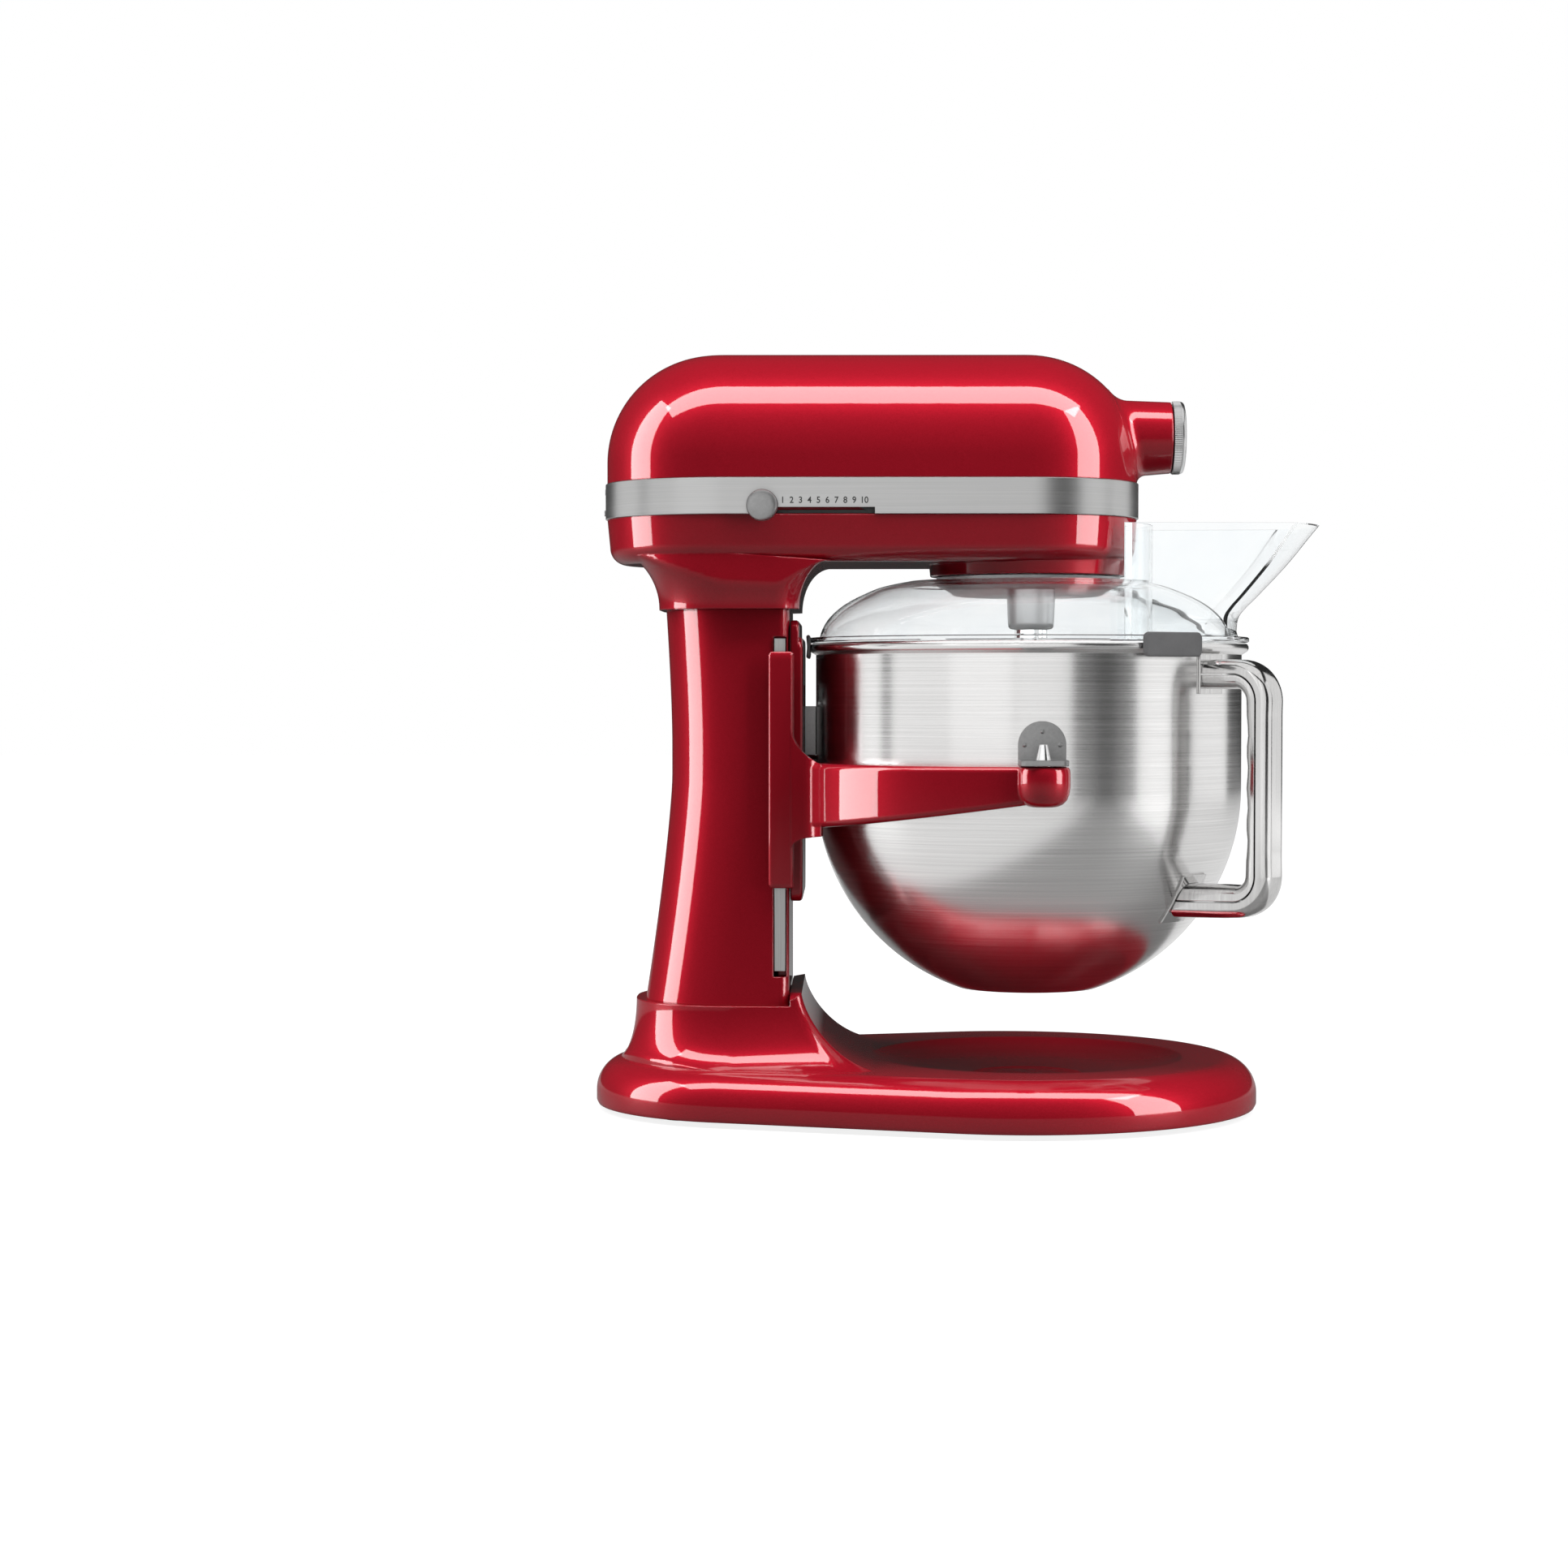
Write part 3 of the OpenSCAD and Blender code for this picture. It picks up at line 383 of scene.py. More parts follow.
def collar_ring(a):
    """Ring at angle a of the flared foot under the column.

    The flare reaches furthest toward the bowl, and its rear is held on the base.
    """
    out = []
    for x, y in dee(-178, -85, 61, 5, 55, 24):
        f = max(0.0, min(1.0, (x + 120) / 35))
        size = math.hypot(x + 131, y)
        dx, dy, top = (x + 131) / size, y / size, 62 + 7 * f ** 4
        off = (9 + 11 * abs(dy) * (1 - f) + 66 * f ** 2) * (1 - cos(a))
        qx, qy = x + dx * off - BASE_REAR_X, y + dy * off * (1 - 0.5 * f)
        over = max(1.0, math.hypot(qx, qy) / (BASE_REAR_R - 14)) if qx < 0 else 1.0
        out.append((qx / over + BASE_REAR_X, qy / over, top - (top - 28.6) * sin(a) ** (1 + 0.35 * f)))
    return out


def build_base():
    hollow = smooth([(30, 19), (60, 21.5), (76, 25), (86, 29), (100, 38), (112, 51), (124, 75)], 8)
    ob = skin("base", base_rings(0, 3))
    cut(ob, skin("tool", [collar_ring(a) for a in spaced(90, 0, 24)]), "UNION")
    cut(ob, turn("tool", [(0, 18.5)] + hollow + [(124, 90), (0, 90)], 160))
    cut(ob, block("tool", (-200, -91.4), (-90, 90), (62, 90)))
    under = skin("tool", base_rings(5, -1))
    cut(under, cylinder(100, 12, 40, (AXIS_X, 0, 0)))
    cut(ob, under)
    cut(ob, skin("tool", [at_z(dee(-170, -98, 53, 6, 46), z) for z in (-2, 54)]))
    for x, y in ((105, 78), (105, -78), (-150, 52), (-150, -52), (140, 0)):
        cut(ob, turn("tool", [(3.6, 3), (12, 3), (12, 26), (3.6, 26)], 40, (x, y, 0)), "UNION")
    for x, y in ((-148, 30), (-148, -30), (-106, 38), (-106, -38)):
        cut(ob, cylinder(4.2, 40, 70, (x, y, 0), n=32))
    return ob


# ---- Column ----

def column_ring(z, d=0.0):
    low, high = max(0.0, (185 - z) / 127), max(0.0, (z - 205) / 70)
    return at_z(dee(-158 - 15 * low ** 1.3 - 3 * high ** 1.5 + d, -91.8 - d, 52 + 5 * low ** 1.6 - d,
                    6, 46 - d, 20), z)


def build_column():
    ob = skin("column", [column_ring(z) for z in spaced(62, 277, 43)])
    cut(ob, skin("tool", [column_ring(z, 5) for z in spaced(67, 290, 30)]))
    for s in (-1, 1):
        cut(ob, block("tool", (-100.4, -93.4), sorted((s * 48.6, s * 60)), (77.5, 262)))
    cut(ob, block("tool", (-98, -90), (-5, 5), (150, 229)))
    boss = [(10, 30), (13, 30), (13, 53), (12.4, 54), (10, 54)]
    cut(ob, turn("tool", boss, 64, LEVER_AXIS, "y"), "UNION")
    cut(ob, cylinder(10, 20, 60, LEVER_AXIS, "y", 64))
    cut(ob, cylinder(6, 40, 70, (-140, 0, 88), "y", 48))
    return ob


# ---- Head ----

def head_ring(z, inset, n=64):
    return at_z(lobes(HEAD_FRONT_X, HEAD_FRONT_R - inset, HEAD_REAR_X, HEAD_REAR_R - inset, n), z)


def neck_ring(a):
    """Fillet between the neck and the flat underside, held inside the head's outline."""
    out = []
    for x, y in dee(-164.2, -86.4, 60, 14, 40, 16):
        dx, dy = x + 125.3, y
        size, r = math.hypot(dx, dy), 34 - 8 * (x + 164.2) / 77.8
        qx, qy, w = x + dx / size * r * (1 - cos(a)), y + dy / size * r * (1 - cos(a)), 63.0
        if qx < HEAD_REAR_X:
            over = max(1.0, math.hypot(qx - HEAD_REAR_X, qy) / w)
            qx, qy = HEAD_REAR_X + (qx - HEAD_REAR_X) / over, qy / over
        else:
            qy /= max(1.0, abs(qy) / w)
        out.append((qx, qy, 277 + r * sin(a)))
    return out


def build_lower_head():
    def tray(extra, top):
        """Rings up a rounded lower edge, extra mm inside the outer face, then the rings of top."""
        return [head_ring(HEAD_FLOOR_Z + 9.5 - (9.5 - extra) * sin(a),
                          1.5 + extra + (9.5 - extra) * (1 - cos(a))) for a in spaced(90, 0, 12)] + top
    ob = skin("lower_head", tray(0, [head_ring(327.5, 0), head_ring(327.52, 1.2), head_ring(337.4, 1.2)]))
    cut(ob, skin("tool", tray(5, [head_ring(345, 5)])))
    neck = skin("tool", [neck_ring(a) for a in spaced(0, 90, 18)])
    cut(neck, skin("tool", [at_z(dee(-159.2, -91.4, 55, 9, 35), z) for z in (283, 330)]))
    cut(ob, neck, "UNION")
    skirt = [(44, 296), (54.0, 296), (54.4, 296.4), (55.0, 302), (56.2, 308), (57.6, 312), (59.4, 316),
             (44, 316)]
    cut(ob, turn("tool", skirt, 160), "UNION")
    cut(ob, cylinder(50.4, 290, 326, (AXIS_X, 0, 0), n=160))
    cut(ob, block("tool", SLOT_X, (-70, -57), (328, SLOT_TOP_Z)))
    cut(ob, skin("tool", [at_z(dee(-150, -100, 30, 6, 15, 6), z) for z in (270, 287)]))
    return ob


def head_front(y, z):
    """X of the cover's front surface at a place seen from the front."""
    rise = z - HEAD_ROUND_Z
    inset = HEAD_ROUND_R - math.sqrt(max(0.0, HEAD_ROUND_R ** 2 - rise ** 2)) if rise > 0 else 0.0
    return HEAD_FRONT_X + math.sqrt((HEAD_FRONT_R - inset) ** 2 - y * y)


def build_cover():
    rings = [head_ring(337.4, 1.2), head_ring(347.28, 1.2), head_ring(347.3, 0), head_ring(353, 0)]
    rings += [head_ring(HEAD_ROUND_Z + 59.66 * sin(a), HEAD_ROUND_R - HEAD_ROUND_R * cos(a))
              for a in spaced(0, 90, 36)]
    ob = skin("upper_head", rings)
    inside = [head_ring(330, 5)] + [head_ring(HEAD_ROUND_Z + 55 * sin(a), HEAD_ROUND_R - 55 * cos(a), 32)
                                    for a in spaced(0, 84, 12)]
    cut(ob, skin("tool", inside))
    cut(ob, cylinder(18, 50, 130, (0, 0, HUB_Z), "x", 96))
    cut(ob, cylinder(3, 14, 40, (108, 0, HUB_Z), "y", 32))
    n, root, fillet, rings = 96, 20.7, 6.5, []

    def ring(radius, x=None):
        pts = []
        for i in range(n):
            y, z = radius * math.cos(2 * math.pi * i / n), HUB_Z + radius * math.sin(2 * math.pi * i / n)
            pts.append((head_front(y, z) if x is None else x, y, z))
        return pts

    # a fillet from the cover's surface, tangent to it, onto the barrel
    outer = ring(root + fillet)
    corner = ring(root)
    rings.append([(p[0] - 2.5, p[1], p[2]) for p in outer])
    end = [(p[0] + fillet, p[1], p[2]) for p in corner]
    for k in range(13):
        t = k / 12
        rings.append([tuple((1 - t) ** 2 * a[c] + 2 * t * (1 - t) * b[c] + t * t * d[c] for c in range(3))
                      for a, b, d in zip(outer, corner, end)])
    for r, x in ((19.8, 117.6), (19.7, 118.4), (19.3, 118.8), (18, 118.8), (18, 80)):
        rings.append(ring(r, float(x)))
    tube = skin("tool", rings, closed=True)
    cut(tube, cylinder(3, 14, 40, (108, 0, HUB_Z), "y", 32))
    return join(ob, tube)


def build_band():
    lo, hi = BAND
    line = [(1, lo), (-0.7, lo), (-1, lo + 0.3), (-1, lo + 3),
            (-1, hi - 3), (-1, hi - 0.3), (-0.7, hi), (1, hi)]
    ob = skin("band", [head_ring(z, i, 96) for i, z in line], closed=True)
    return cut(ob, block("tool", SLOT_X, (-70, -57), (lo - 1, SLOT_TOP_Z)))


def build_digits():
    """The speed marks 1 to 10 over the slot."""
    obs, x = [], -95.1
    for k in range(1, 11):
        cu = bpy.data.curves.new("digit", "FONT")
        cu.body, cu.size, cu.extrude, cu.align_x = str(k), 4.8 * MM, 0.04 * MM, "CENTER"
        cu.offset = 0.09 * MM
        ob = bpy.data.objects.new("digit", cu)
        scene.collection.objects.link(ob)
        me = bpy.data.meshes.new_from_object(ob.evaluated_get(bpy.context.evaluated_depsgraph_get()))
        bpy.data.objects.remove(ob)
        # the digits lie on the band, which tapers slightly toward the front
        pts = [(v.co.x / MM * 0.92 + x, -64.71 + 0.01815 * (v.co.x / MM + x) - v.co.z / MM,
                333.4 + v.co.y / MM) for v in me.vertices]
        obs.append(make("speed_marks" if k == 1 else "digit", pts, [tuple(p.vertices) for p in me.polygons]))
        x += 4.8 if k < 9 else 5.4
    return join(*obs)


def build_cap():
    """Silver cap over the attachment hub, with a knurled rim and a shallow dished face."""
    n = 240

    def ring(x, r, depth):
        return [(x, (r - (depth if i % 2 else 0)) * math.cos(2 * math.pi * i / n),
                 HUB_Z + (r - (depth if i % 2 else 0)) * math.sin(2 * math.pi * i / n)) for i in range(n)]

    line = ((119.4, 19.6, 0), (119.5, 20.0, 0.2), (119.9, 20.25, 0.42), (123.5, 20.25, 0.42),
            (123.8, 20.1, 0.1), (124.6, 19.9, 0), (125.4, 19.4, 0), (125.8, 18.8, 0), (126, 18, 0),
            (126, 16.4, 0), (125.7, 15.8, 0), (125.5, 14, 0), (125.45, 8, 0), (125.45, 1, 0))
    ob = skin("hub_cap", [ring(x, r, depth) for x, r, depth in line], sharp=50)
    cut(ob, cylinder(15, 119, 122.4, (0, 0, HUB_Z), "x"))
    cut(ob, block("tool", (119, 123), (-3.5, 3.5), (389.2, 392.2)))
    return ob


def build_knob():
    line = [(0, -74.6), (3, -74.55), (5.6, -74.3), (7.2, -73.8), (8.1, -73.0), (8.5, -72.0), (8.5, -69.0),
            (8.1, -68.3), (0, -68.3)]
    return turn("speed_disc", smooth(line[:6], 3) + line[6:], 96, (-106, 0, 332), "y")


# ---- Planetary ----

def build_planetary():
    dish = [(8, 288), (43, 288), (45.5, 288.6), (47.6, 289.9), (49.4, 291.8), (50.6, 294), (51, 295.6),
            (14, 295.6), (14, 296.6), (8, 296.6)]
    ob = turn("planetary", dish, 160)
    boss = [(6.25, 267.6), (9.6, 267.6), (11.2, 268.0), (12.2, 269.0), (12.6, 270.6), (13.0, 280),
            (13.2, 289.5), (6.25, 289.5)]
    return join(ob, turn("tool", boss, 96, (AXIS_X, BEATER_Y, 0)))


# ---- Yoke ----

def build_yoke():
    def section(phi):
        bottom = 155.7 + (-95 - (AXIS_X - 128 * cos(phi))) * -18.9 / 134.5
        return [(AXIS_X - r * cos(phi), r * sin(phi), z) for r, z in
                rounded((121.6, bottom), (134.4, 193.6), 3.2, 6)]
    arms = skin("yoke", [section(a) for a in spaced(-90.5, 90.5, 120)])
    cut(arms, block("tool", (-120, -91.4), (-80, 80), (140, 200)))
    parts = [arms]
    for s in (-1, 1):
        boss = [(0, 193.6), (11.6, 193.6), (13.0, 193.1), (13.7, 192.0), (14, 189.5), (14, 183.5),
                (13.5, 179.5), (12.3, 176.3), (10.2, 174.1), (7.6, 172.9), (5.5, 172.6), (0, 172.6)]
        parts.append(turn("tool", boss, 72, (AXIS_X + 1, s * PIN_Y, 0)))
    face = ((-91.4, 0.8), (-90.8, 0), (-86.4, 0), (-85.4, 0.4), (-84.8, 1.2), (-84.6, 2.2))
    plate = skin("tool", [[(x, y, z) for y, z in rounded((-50 + i, 118 + i), (50 - i, 262 - i), 7)]
                          for x, i in face])
    upper = skin("tool", [[(x, y, z) for y, z in rounded((-50 + i, 240 + i), (50 - i, 271 - i), 6)]
                          for x, i in ((-91.4, 0.6), (-90.9, 0), (-88, 0), (-87.2, 0.4), (-86.6, 1.4))])
    cut(plate, upper, "UNION")
    for tool in (block("tool", (-88.6, -83.6), (-22, 22), (192, 236)),
                 block("tool", (-92.4, -88.4), (-3, 3), (200, 225)),
                 cylinder(121.5, 100, 245, (AXIS_X, 0, 0), n=160)):
        cut(plate, tool)
    parts.append(plate)
    parts.append(block("tool", (-91.4, -89.8), (-56, 56), (126.5, 253)))
    for s in (-1, 1):
        # the raised flange that wraps the slide, with chamfered ends
        outline = [(-89.7, 125.9), (-89.7, 252.6), (-91.0, 253.8), (-101.6, 253.8), (-102.9, 252.0),
                   (-102.9, 127.8), (-101.4, 125.9)]
        rings = []
        for y, i in ((55.8, 0.5), (56.2, 0), (58.6, 0), (59.2, 0.25), (59.7, 0.8), (60.0, 1.7)):
            rings.append([(x + (i if x < -96 else -i), s * y, z + (1.6 * i if z < 190 else -2.6 * i))
                          for x, z in outline])
        parts.append(skin("tool", rings))
        # the web between the flange and the arm: a side profile met by a plan profile
        top = [(-91.4, 222), (-91.2, 214.5), (-89.9, 208.3), (-86.8, 202.4), (-81.8, 197.4), (-76.5, 194.0),
               (-73, 193.2)]
        low = [(-73, 154.6), (-79, 153.6), (-85, 152.6), (-88.6, 150.8), (-90.7, 148.0), (-91.4, 144)]
        side = smooth(top, 4) + smooth(low, 4)
        curve = [(-84.5, 60), (-82.0, 60.3), (-79.6, 61.5), (-77.6, 63.6), (-76.0, 66.2), (-74.4, 69.4)]
        plan = ([(-91.3, 50), (-91.3, 59.4), (-90.8, 60), (-86, 60)] + smooth(curve, 4)
                + [(-73.5, 66), (-73.5, 50)])
        web = skin("tool", [[(x, s * y, z) for x, z in side] for y in (49, 75)])
        cut(web, skin("tool", [[(x, s * y, z) for x, y in plan] for z in (140, 226)]), "INTERSECT")
        parts.append(bevel(web, 1.0, 3, 50))
    return join(*parts)


# ---- Bowl ----

def bowl_line(r, n=40):
    """Profile of a bowl of radius r, from its rim down to its flat bottom."""
    low = math.degrees(math.acos((179 + r - 118 - 67.5) / r))
    return [(r, 256.3)] + [(r * sin(a), 179 - r * cos(a)) for a in spaced(90, low, n)]


def build_bowl():
    outer, inner = bowl_line(BOWL_R), bowl_line(116.8)
    bead = [(119.1 + 2.7 * cos(a), 256.3 + 2.7 * sin(a)) for a in spaced(215, -65, 20)][::-1]
    outside = [(0, outer[-1][1])] + outer[::-1][:-1] + [(BOWL_R, 252.5)]
    return turn("bowl", outside + bead + [(116.8, 252.8)] + inner[1:] + [(0, inner[-1][1])], 240)


def on_bowl(u, r, z, s):
    """A place on the bowl's side: u mm forward of its middle, at radius r."""
    return (AXIS_X + u, s * math.sqrt(r * r - u * u), z)


def build_side_brackets():
    parts = []
    rivet = [(0, 0.8), (0.5, 0.75), (0.9, 0.5), (1.15, 0), (1.15, -1), (0, -1)]
    for s in (-1, 1):
        rings = []
        for z in spaced(194, 216.9, 30):
            w = 12.5 if z < 204.5 else math.sqrt(max(0.4, 12.5 ** 2 - (z - 204.5) ** 2))
            us = spaced(-w, w, 10)
            rings.append([on_bowl(u + 1, 119.7, z, s) for u in us]
                         + [on_bowl(u + 1, BOWL_R + 0.05, z, s) for u in us[::-1]])
        parts.append(skin("side_brackets" if not parts else "tool", rings))
        for u, z in ((0, 211.6), (-9.2, 204.6), (9.2, 204.6)):
            x, y, z = on_bowl(u + 1, 119.5, z, s)
            dome = turn("tool", rivet, 20, (0, 0, 0), "y")
            for v in dome.data.vertices:
                v.co = Vector((x * MM + v.co.x, y * MM + v.co.y * s, z * MM + v.co.z))
            parts.append(dome)
        tab = skin("tool", [[(x, y * s, z) for x, y in
                             rounded((28.5 + i, 117.4), (53.5 - i, 143.4 - i), 3)] for z, i in
                            ((194.0, 0.3), (194.3, 0), (196.7, 0), (197, 0.3))])
        cut(tab, cylinder(119.2, 190, 200, (AXIS_X, 0, 0), n=200))
        cut(tab, cylinder(5.4, 190, 200, (AXIS_X + 1, s * PIN_Y, 0), n=48))
        parts.append(tab)
    return join(*parts)


HANDLE_TURN = -38  # the handle's direction from the bowl's axis
SQUIRCLE = 0.62


def handle_path():
    """Middle of the handle: distance from the bowl's axis, height, depth of the section."""
    out = [(118.8, 241.5, 15.5), (124, 241.5, 15.8), (130, 241.5, 16)]
    out += [(137 + 14.5 * sin(a), 227 + 14.5 * cos(a), 15.5) for a in spaced(8, 90, 12)]
    out += [(151.5, z, 15.0) for z in spaced(220, 143, 14)]
    out += [(137.5 + 14.0 * cos(a), 135 - 14.0 * sin(a), 15.5 + a / 45) for a in spaced(0, 84, 12)]
    out += [(130, 120.8, 18), (120, 120.6, 18.2), (110, 120.4, 18.4), (100, 120.2, 18.6)]
    return out


def handle_rings(outer):
    """Rings along the handle: the half away from the bowl, or the half facing it."""
    path, rings = handle_path(), []
    c, s = cos(HANDLE_TURN), sin(HANDLE_TURN)
    for k, (rho, z, deep) in enumerate(path):
        a, b = path[max(k - 1, 0)], path[min(k + 1, len(path) - 1)]
        tx, tz = b[0] - a[0], b[1] - a[1]
        size = math.hypot(tx, tz)
        nx, nz = (-tz / size, tx / size)
        if nx * (rho - 90) + nz * (z - 181) < 0:
            nx, nz = -nx, -nz
        half = deep / 2
        if not outer and 143 < z < 220 and rho > 150:  # the finger grip
            half -= 1.1 * (0.5 - 0.5 * math.cos(2 * math.pi * (220 - z) / 19.25))
        line = []
        for t in spaced(0, 180, 18):  # half of a squircle, from one side to the other
            across = 9.9 * math.copysign(abs(cos(t)) ** SQUIRCLE, cos(t))
            out = 0.45 + (half - 0.45) * abs(sin(t)) ** SQUIRCLE
            line.append((across, out if outer else -out))
        rings.append([(AXIS_X + (rho + nx * o) * c - w * s, (rho + nx * o) * s + w * c, z + nz * o)
                      for w, o in line])
    return rings


def build_handle_shell(name, outer):
    ob = skin(name, handle_rings(outer))
    return cut(ob, turn("tool", [(0, 300), (119.4, 300)] + bowl_line(119.4)[1:] + [(0, 68)], 200))


# ---- Pouring shield ----

# radius and height of the dome; height and forward reach of the chute
DOME = [(116, 262), (114.4, 267), (111, 272.6), (105.5, 278), (99, 282.4), (91, 286.4), (83, 289.7),
        (75, 291.7), (66, 293.4)]
CHUTE = [(262, 115), (272, 116), (278, 120), (285, 127), (302, 143), (318, 156), (324, 161)]


def chute_ring(z, reach, d):
    """Outline of the chute at one height, d mm inside its outer face."""
    t, r, w = (z - 262) / 62, 67 + d, 45 - d
    tip, tip_w, sag = reach - d, 45 - 6 * t - d, 9.2 + 7.2 * t
    out = [(AXIS_X + math.sqrt(r * r - y * y), y) for y in spaced(w, -w, 14)]
    out += [(AXIS_X + tip - sag * (y / tip_w) ** 2, y) for y in spaced(-tip_w, tip_w, 14)]
    return at_z(out, z)


def build_dome():
    outer = smooth(DOME, 5)
    inner = [(r - 1, z - 2) for r, z in outer]
    line = [(115, 259.4), (121.4, 259.4), (122, 259.9), (122, 261.4), (121.4, 262.0)] + outer + inner[::-1]
    ob = turn("dome", line, 240)
    rings = [chute_ring(z, r, -0.02) for z, r in [(250, 115)] + smooth(CHUTE, 4)]
    return cut(ob, skin("tool", rings))


def build_chute():
    line = smooth(CHUTE, 5)
    outer = [chute_ring(z, r, 0) for z, r in line]
    inner = [chute_ring(z, r, 2) for z, r in line]
    lip = chute_ring(324, 161.0, 1)
    return skin("chute", outer + [lip] + inner[::-1], closed=True, sharp=50)


def build_pads():
    parts = []
    for turn_by, thick in ((180, 1.8), (55, 3.2), (-55, 3.2)):
        rings = []
        for r, i in ((122.4, 0.5), (122.7, 0), (122.1 + thick - 0.5, 0), (122.4 + thick - 0.25, 0.3),
                     (122.4 + thick, 0.9)):
            outline = rounded((-19.4 + i, 250.6 + i), (19.4 - i, 263.5 - i), 3.2, 5)
            rings.append([(AXIS_X + r * cos(turn_by + math.degrees(u / 124)),
                           r * sin(turn_by + math.degrees(u / 124)), z) for u, z in outline])
        parts.append(skin("pads" if not parts else "tool", rings))
    return join(*parts)


# ---- The pieces ----

paint = candy_red()
bowl_steel = brushed("bowl_steel", (7, 7, 1500), (0.62, 0.615, 0.61), (0.78, 0.775, 0.77), (0.19, 0.26),
                     aniso=0.6, spin=0.25, radial=True, bump=0.03)
satin = brushed("satin_plate", (500, 500, 500), (0.27, 0.27, 0.27), (0.33, 0.33, 0.33), (0.42, 0.5),
                bump=0.05)
handle_steel = brushed("handle_steel", (900, 900, 12), (0.54, 0.535, 0.53), (0.64, 0.635, 0.63), (0.09, 0.16),
                       bump=0.02)
band_metal = brushed("band_metal", (9, 9, 1800), (0.42, 0.42, 0.418), (0.50, 0.50, 0.497), (0.3, 0.42),
                     aniso=0.5, spin=0.25, bump=0.04)
cap_metal = brushed("cap_metal", (300, 14, 14), (0.56, 0.56, 0.56), (0.66, 0.66, 0.66), (0.26, 0.34),
                    bump=0.04, radius=0.0002)
knob_metal = brushed("knob_metal", (400, 400, 400), (0.26, 0.26, 0.26), (0.31, 0.31, 0.31), (0.38, 0.44),
                     bump=0.03, radius=0.0002)
chrome = brushed("polished_steel", (200, 200, 700), (0.74, 0.74, 0.74), (0.83, 0.83, 0.83), (0.05, 0.1),
                 bump=0.02)
ground = brushed("ground_steel", (400, 400, 900), (0.42, 0.42, 0.43), (0.58, 0.58, 0.58), (0.25, 0.4))
rail_steel = brushed("rail_steel", (1500, 1500, 20), (0.26, 0.26, 0.255), (0.36, 0.36, 0.355), (0.3, 0.4))
bronze = brushed("bronze", (500, 500, 500), (0.5, 0.3, 0.12), (0.66, 0.44, 0.2), (0.25, 0.4))
cast = brushed("cast_alloy", (260, 260, 260), (0.3, 0.3, 0.3), (0.4, 0.4, 0.4), (0.5, 0.65), bump=0.3)
coated = moulded("planetary_coat", (0.48, 0.48, 0.485), (0.55, 0.55, 0.555), (0.32, 0.4),
                  grain=1500, bump=0.06, Metallic=0.5)
pad_rubber = moulded("shield_rubber", (0.115, 0.115, 0.118), (0.15, 0.15, 0.153), (0.5, 0.62))
foot_rubber = moulded("foot_rubber", (0.02, 0.02, 0.02), (0.035, 0.035, 0.035), (0.6, 0.75))
black = moulded("black_plastic", (0.012, 0.012, 0.012), (0.022, 0.022, 0.022), (0.35, 0.5))
board = moulded("board_lacquer", (0.02, 0.12, 0.06), (0.03, 0.17, 0.08), (0.25, 0.4))
ink = moulded("printed_ink", (0.02, 0.02, 0.02), (0.03, 0.03, 0.03), (0.5, 0.6), radius=None, bump=0.02)
glass = clear()

place(build_base(), "frame", "paint_red", paint, "base_casting")
place(build_column(), "frame", "paint_red", paint, "column_casting")
place(build_lower_head(), "frame", "paint_red", paint, "head_lower_housing")
place(build_cover(), "frame", "paint_red", paint, "head_upper_cover")
place(build_band(), "frame", "band_metal", band_metal, "trim_band")
place(build_digits(), "frame", "plastic_black", ink, weighted=False)
# painted shade: a black sheet just inside the speed slot stands in for the shade in the slot, so it reads
# dark
place(block("slot_shade_sheet", (-111, -44), (-59.6, -58.6), (326, 333)), "frame", "plastic_black", black)
place(build_knob(), "speed_control", "band_metal", knob_metal, "speed_knob")
place(build_cap(), "hub_cap", "band_metal", cap_metal, "hub_cover")
place(build_planetary(), "planetary", "planetary_grey", coated, "planetary_hub")
place(build_yoke(), "yoke", "paint_red", paint, "yoke_casting")
place(build_bowl(), "bowl", "stainless", bowl_steel, "bowl_shell")
place(build_side_brackets(), "bowl", "stainless", satin, "bowl_side_brackets")
place(build_handle_shell("handle_outer", True), "bowl", "stainless", handle_steel, "handle_outer_shell")
place(build_handle_shell("handle_inner", False), "bowl", "stainless", handle_steel, "handle_inner_shell")
place(build_dome(), "shield", "clear_shield", glass, "shield_dome")
place(build_chute(), "shield", "clear_shield", glass, "shield_chute")
place(build_pads(), "shield", "rubber_grey", pad_rubber, "shield_pads")

by_slot = {"stainless": satin, "band_metal": cap_metal, "planetary_grey": coated, "clear_shield": glass,
           "rubber_grey": pad_rubber, "rubber_black": foot_rubber, "chrome_steel": chrome,
           "bare_steel": ground, "gear_bronze": bronze, "cast_grey": cast, "plastic_black": black,
           "board_green": board, "paint_red": paint}
by_node = {"slide_rails": rail_steel, "handle_brackets": handle_steel, "lever_arm": satin}
for part in frame["record"]["subparts"]:
    looks = by_node.get(part["node"], by_slot[part["material_slot"]])
    for material_slot in nodes[part["node"]].material_slots:
        material_slot.material = looks

# ---- Studio ----

floor = make("floor", [(-9000, -6000, 0), (9000, -6000, 0), (9000, 9000, 0), (-9000, 9000, 0)],
             [(0, 1, 2, 3)])
floor.location.z = -0.0002
white = Shade("pale_floor", Roughness=0.6, Specular_IOR_Level=0.1)
white.colour(white.noise((3, 3, 3)), (0.15, 0.15, 0.15), (0.16, 0.16, 0.16))
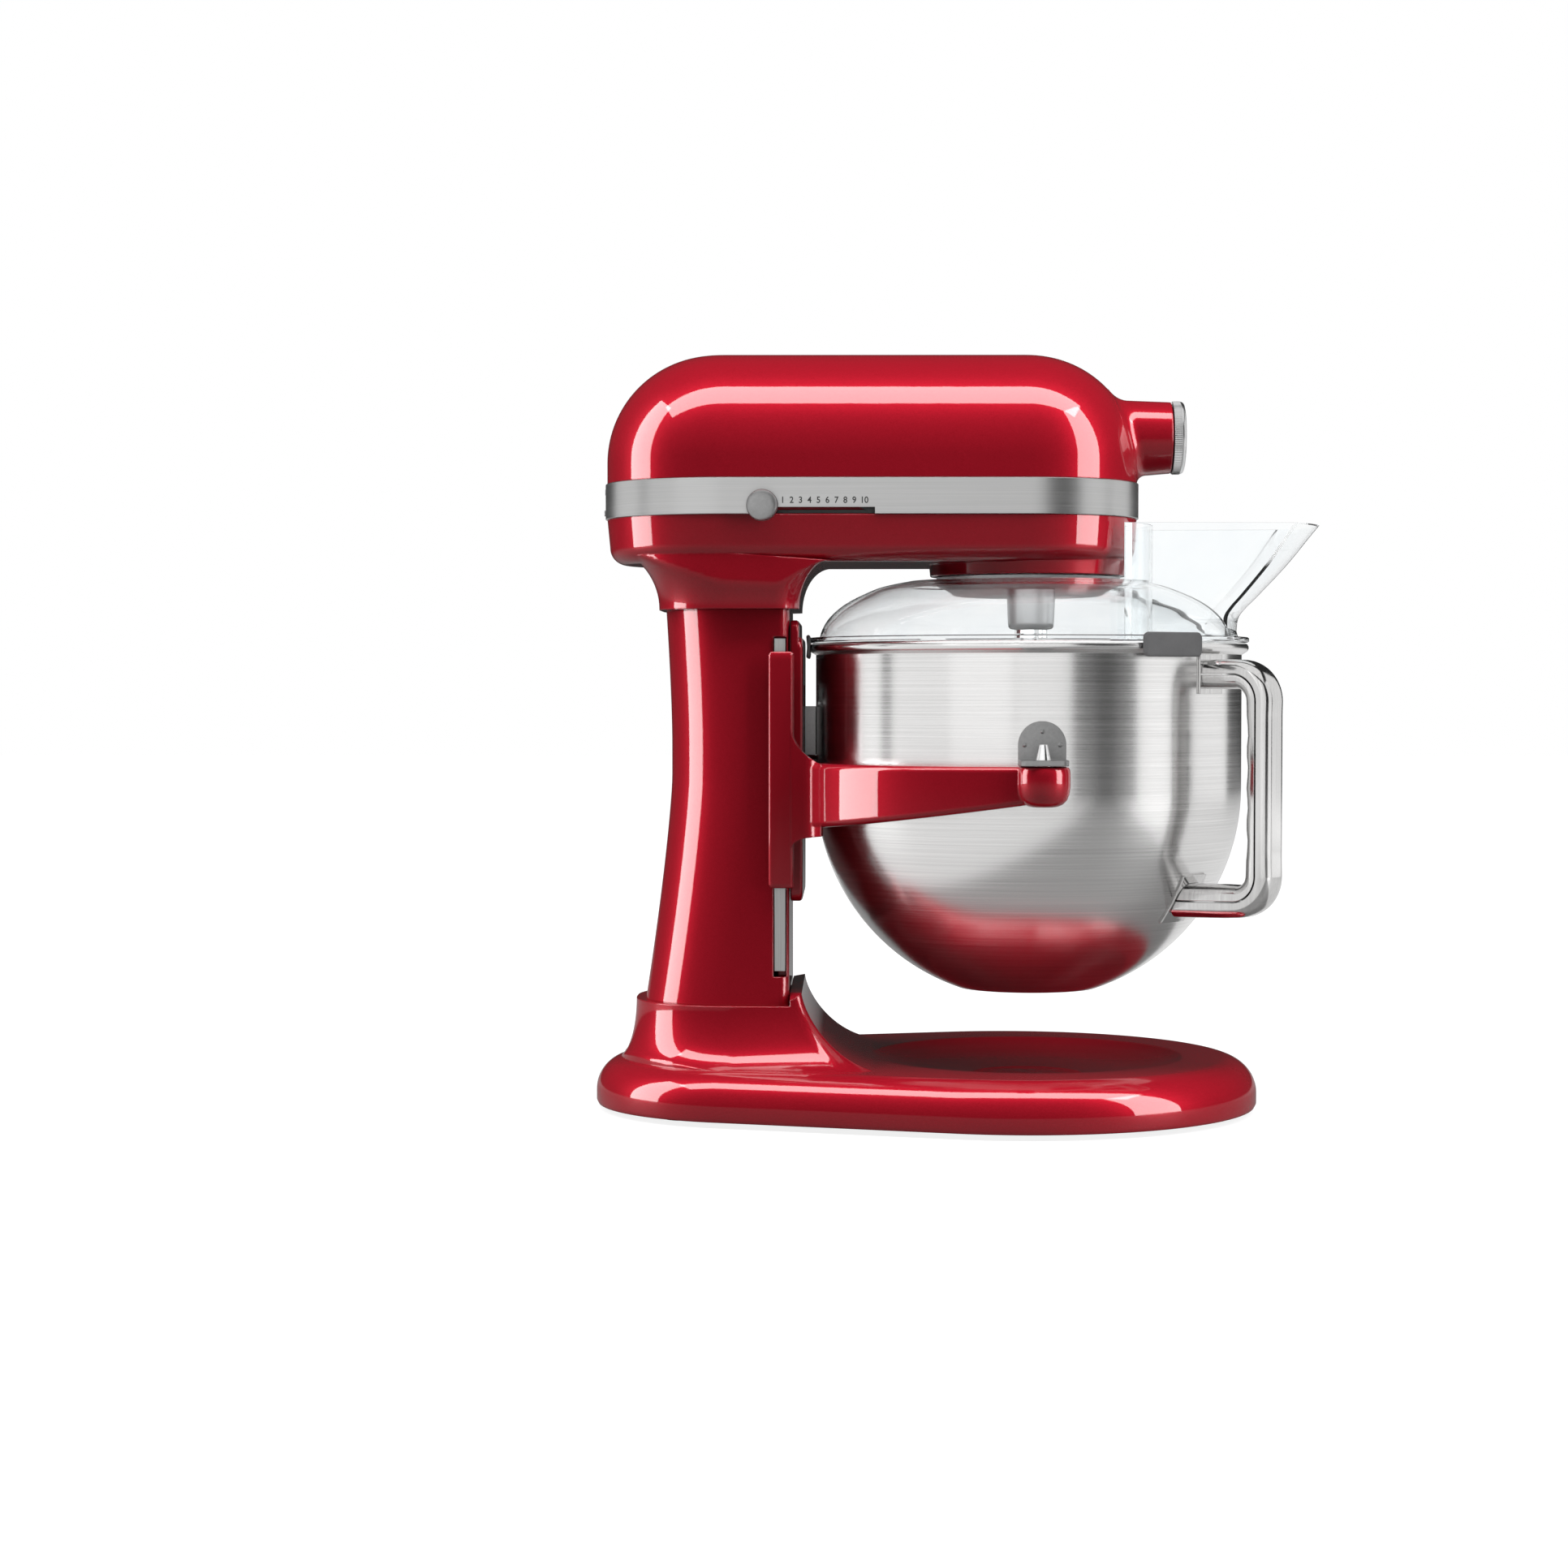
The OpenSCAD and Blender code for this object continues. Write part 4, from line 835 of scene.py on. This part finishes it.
# seen directly, the floor glows to white away from the object, so no horizon shows
reach = white.node("VectorMath", operation="LENGTH")
white.link(white.coord, reach.inputs[0])
glow = white.node("Emission")
white.link(white.remap(reach.outputs["Value"], 0.85, 1.0, 0.3, 1.4), glow.inputs["Strength"])
both, pick, sight = white.node("AddShader"), white.node("MixShader"), white.node("LightPath")
white.link(white.p.outputs[0], both.inputs[0])
white.link(glow.outputs[0], both.inputs[1])
white.link(sight.outputs["Is Camera Ray"], pick.inputs[0])
white.link(white.p.outputs[0], pick.inputs[1])
white.link(both.outputs[0], pick.inputs[2])
white.link(pick.outputs[0], white.t.nodes["Material Output"].inputs["Surface"])
floor.data.materials.append(white.mat)

# white behind the object, dim in its diffuse light and dimmer still in its reflections
world = bpy.data.worlds.new("studio")
scene.world = world
world.use_nodes = True
tree = world.node_tree
back = tree.nodes["Background"]
path = tree.nodes.new("ShaderNodeLightPath")
mix = tree.nodes.new("ShaderNodeMix")
mix.data_type = "RGBA"
mix.inputs["B"].default_value = (1, 1, 1, 1)
dim = tree.nodes.new("ShaderNodeMix")
dim.data_type = "RGBA"
dim.inputs["A"].default_value = (0.16, 0.16, 0.16, 1)  # diffuse rays
dim.inputs["B"].default_value = (0.03, 0.03, 0.03, 1)  # glossy rays
tree.links.new(path.outputs["Is Glossy Ray"], dim.inputs["Factor"])
tree.links.new(dim.outputs["Result"], mix.inputs["A"])
seen = tree.nodes.new("ShaderNodeMath")
seen.operation = "ADD"
seen.use_clamp = True
tree.links.new(path.outputs["Is Camera Ray"], seen.inputs[0])
tree.links.new(path.outputs["Transmission Depth"], seen.inputs[1])
tree.links.new(seen.outputs[0], mix.inputs["Factor"])
tree.links.new(mix.outputs["Result"], back.inputs["Color"])
back.inputs["Strength"].default_value = 1.0

# the painted pieces and the bare ones have their own lights
lit = {"painted": bpy.data.collections.new("painted"), "bare": bpy.data.collections.new("bare")}
for ob in scene.objects:
    if ob.type == "MESH":
        glossy = ob == floor or any(m == paint for m in ob.data.materials)
        lit["painted" if glossy else "bare"].objects.link(ob)


def panel(name, at, aim, size, power, pieces):
    """A soft rectangular light for the painted or the bare pieces; power is its brightness."""
    light = bpy.data.lights.new(name, "AREA")
    light.shape, light.size, light.size_y = "RECTANGLE", size[0], size[1]
    light.energy = power * size[0] * size[1] * math.pi
    ob = bpy.data.objects.new(name, light)
    ob.location = at
    ob.rotation_euler = (Vector(aim) - Vector(at)).to_track_quat("-Z", "Y").to_euler()
    ob.visible_camera = False
    ob.light_linking.receiver_collection = lit[pieces]
    scene.collection.objects.link(ob)
    return ob


middle = (-0.02, 0.0, 0.2)
paint_power = 10.5
panel("top", (-0.05, -0.8, 2.9), (-0.05, -0.05, 0.3), (5.3, 1.05), paint_power, "painted")
panel("left", (-2.6, -0.1, 1.5), (0.0, 0.0, 1.5), (1.15, 3.2), paint_power, "painted")
panel("right", (2.3, -1.0, 1.5), (0.0, 0.0, 1.5), (1.15, 3.2), paint_power, "painted")
for name, azimuth, width, power in (("card_left", -62, 1.7, 1.0), ("card_front", -27, 1.75, 1.2),
                                    ("card_middle", 6, 1.45, 1.05), ("card_right", 72, 1.6, 1.05),
                                    ("card_rear", 110, 1.8, 1.0), ("card_side", -106, 2.0, 1.0)):
    panel(name, (2.6 * sin(azimuth), -2.6 * cos(azimuth), 0.9), middle, (width, 2.4), power, "bare")
panel("card_top", (0.0, -0.4, 2.6), middle, (4.0, 3.0), 1.1, "bare")
# two low cards that face up, with a dark gap between them, which the bowl mirrors as a stripe
gap_turn, card_off = 38, 2.22
for side in (-1, 1):
    off = side * card_off
    card = panel("card_low", (0.04 + off * cos(gap_turn), off * sin(gap_turn), 0.0006), (0, 0, 1),
                 (4.0, 7.0), 0.55, "bare")
    card.rotation_euler = (math.pi, 0, math.radians(gap_turn))

lens = bpy.data.cameras.new("camera")
lens.lens, lens.sensor_width, lens.clip_end = 70.46, 36.0, 50
camera = bpy.data.objects.new("camera", lens)
camera.location = (-0.056, -1.715, 0.2336)
camera.rotation_euler = Vector((-0.02327, 1, -0.03094)).to_track_quat("-Z", "Y").to_euler()
scene.collection.objects.link(camera)
scene.camera = camera
scene.view_settings.view_transform = "Standard"
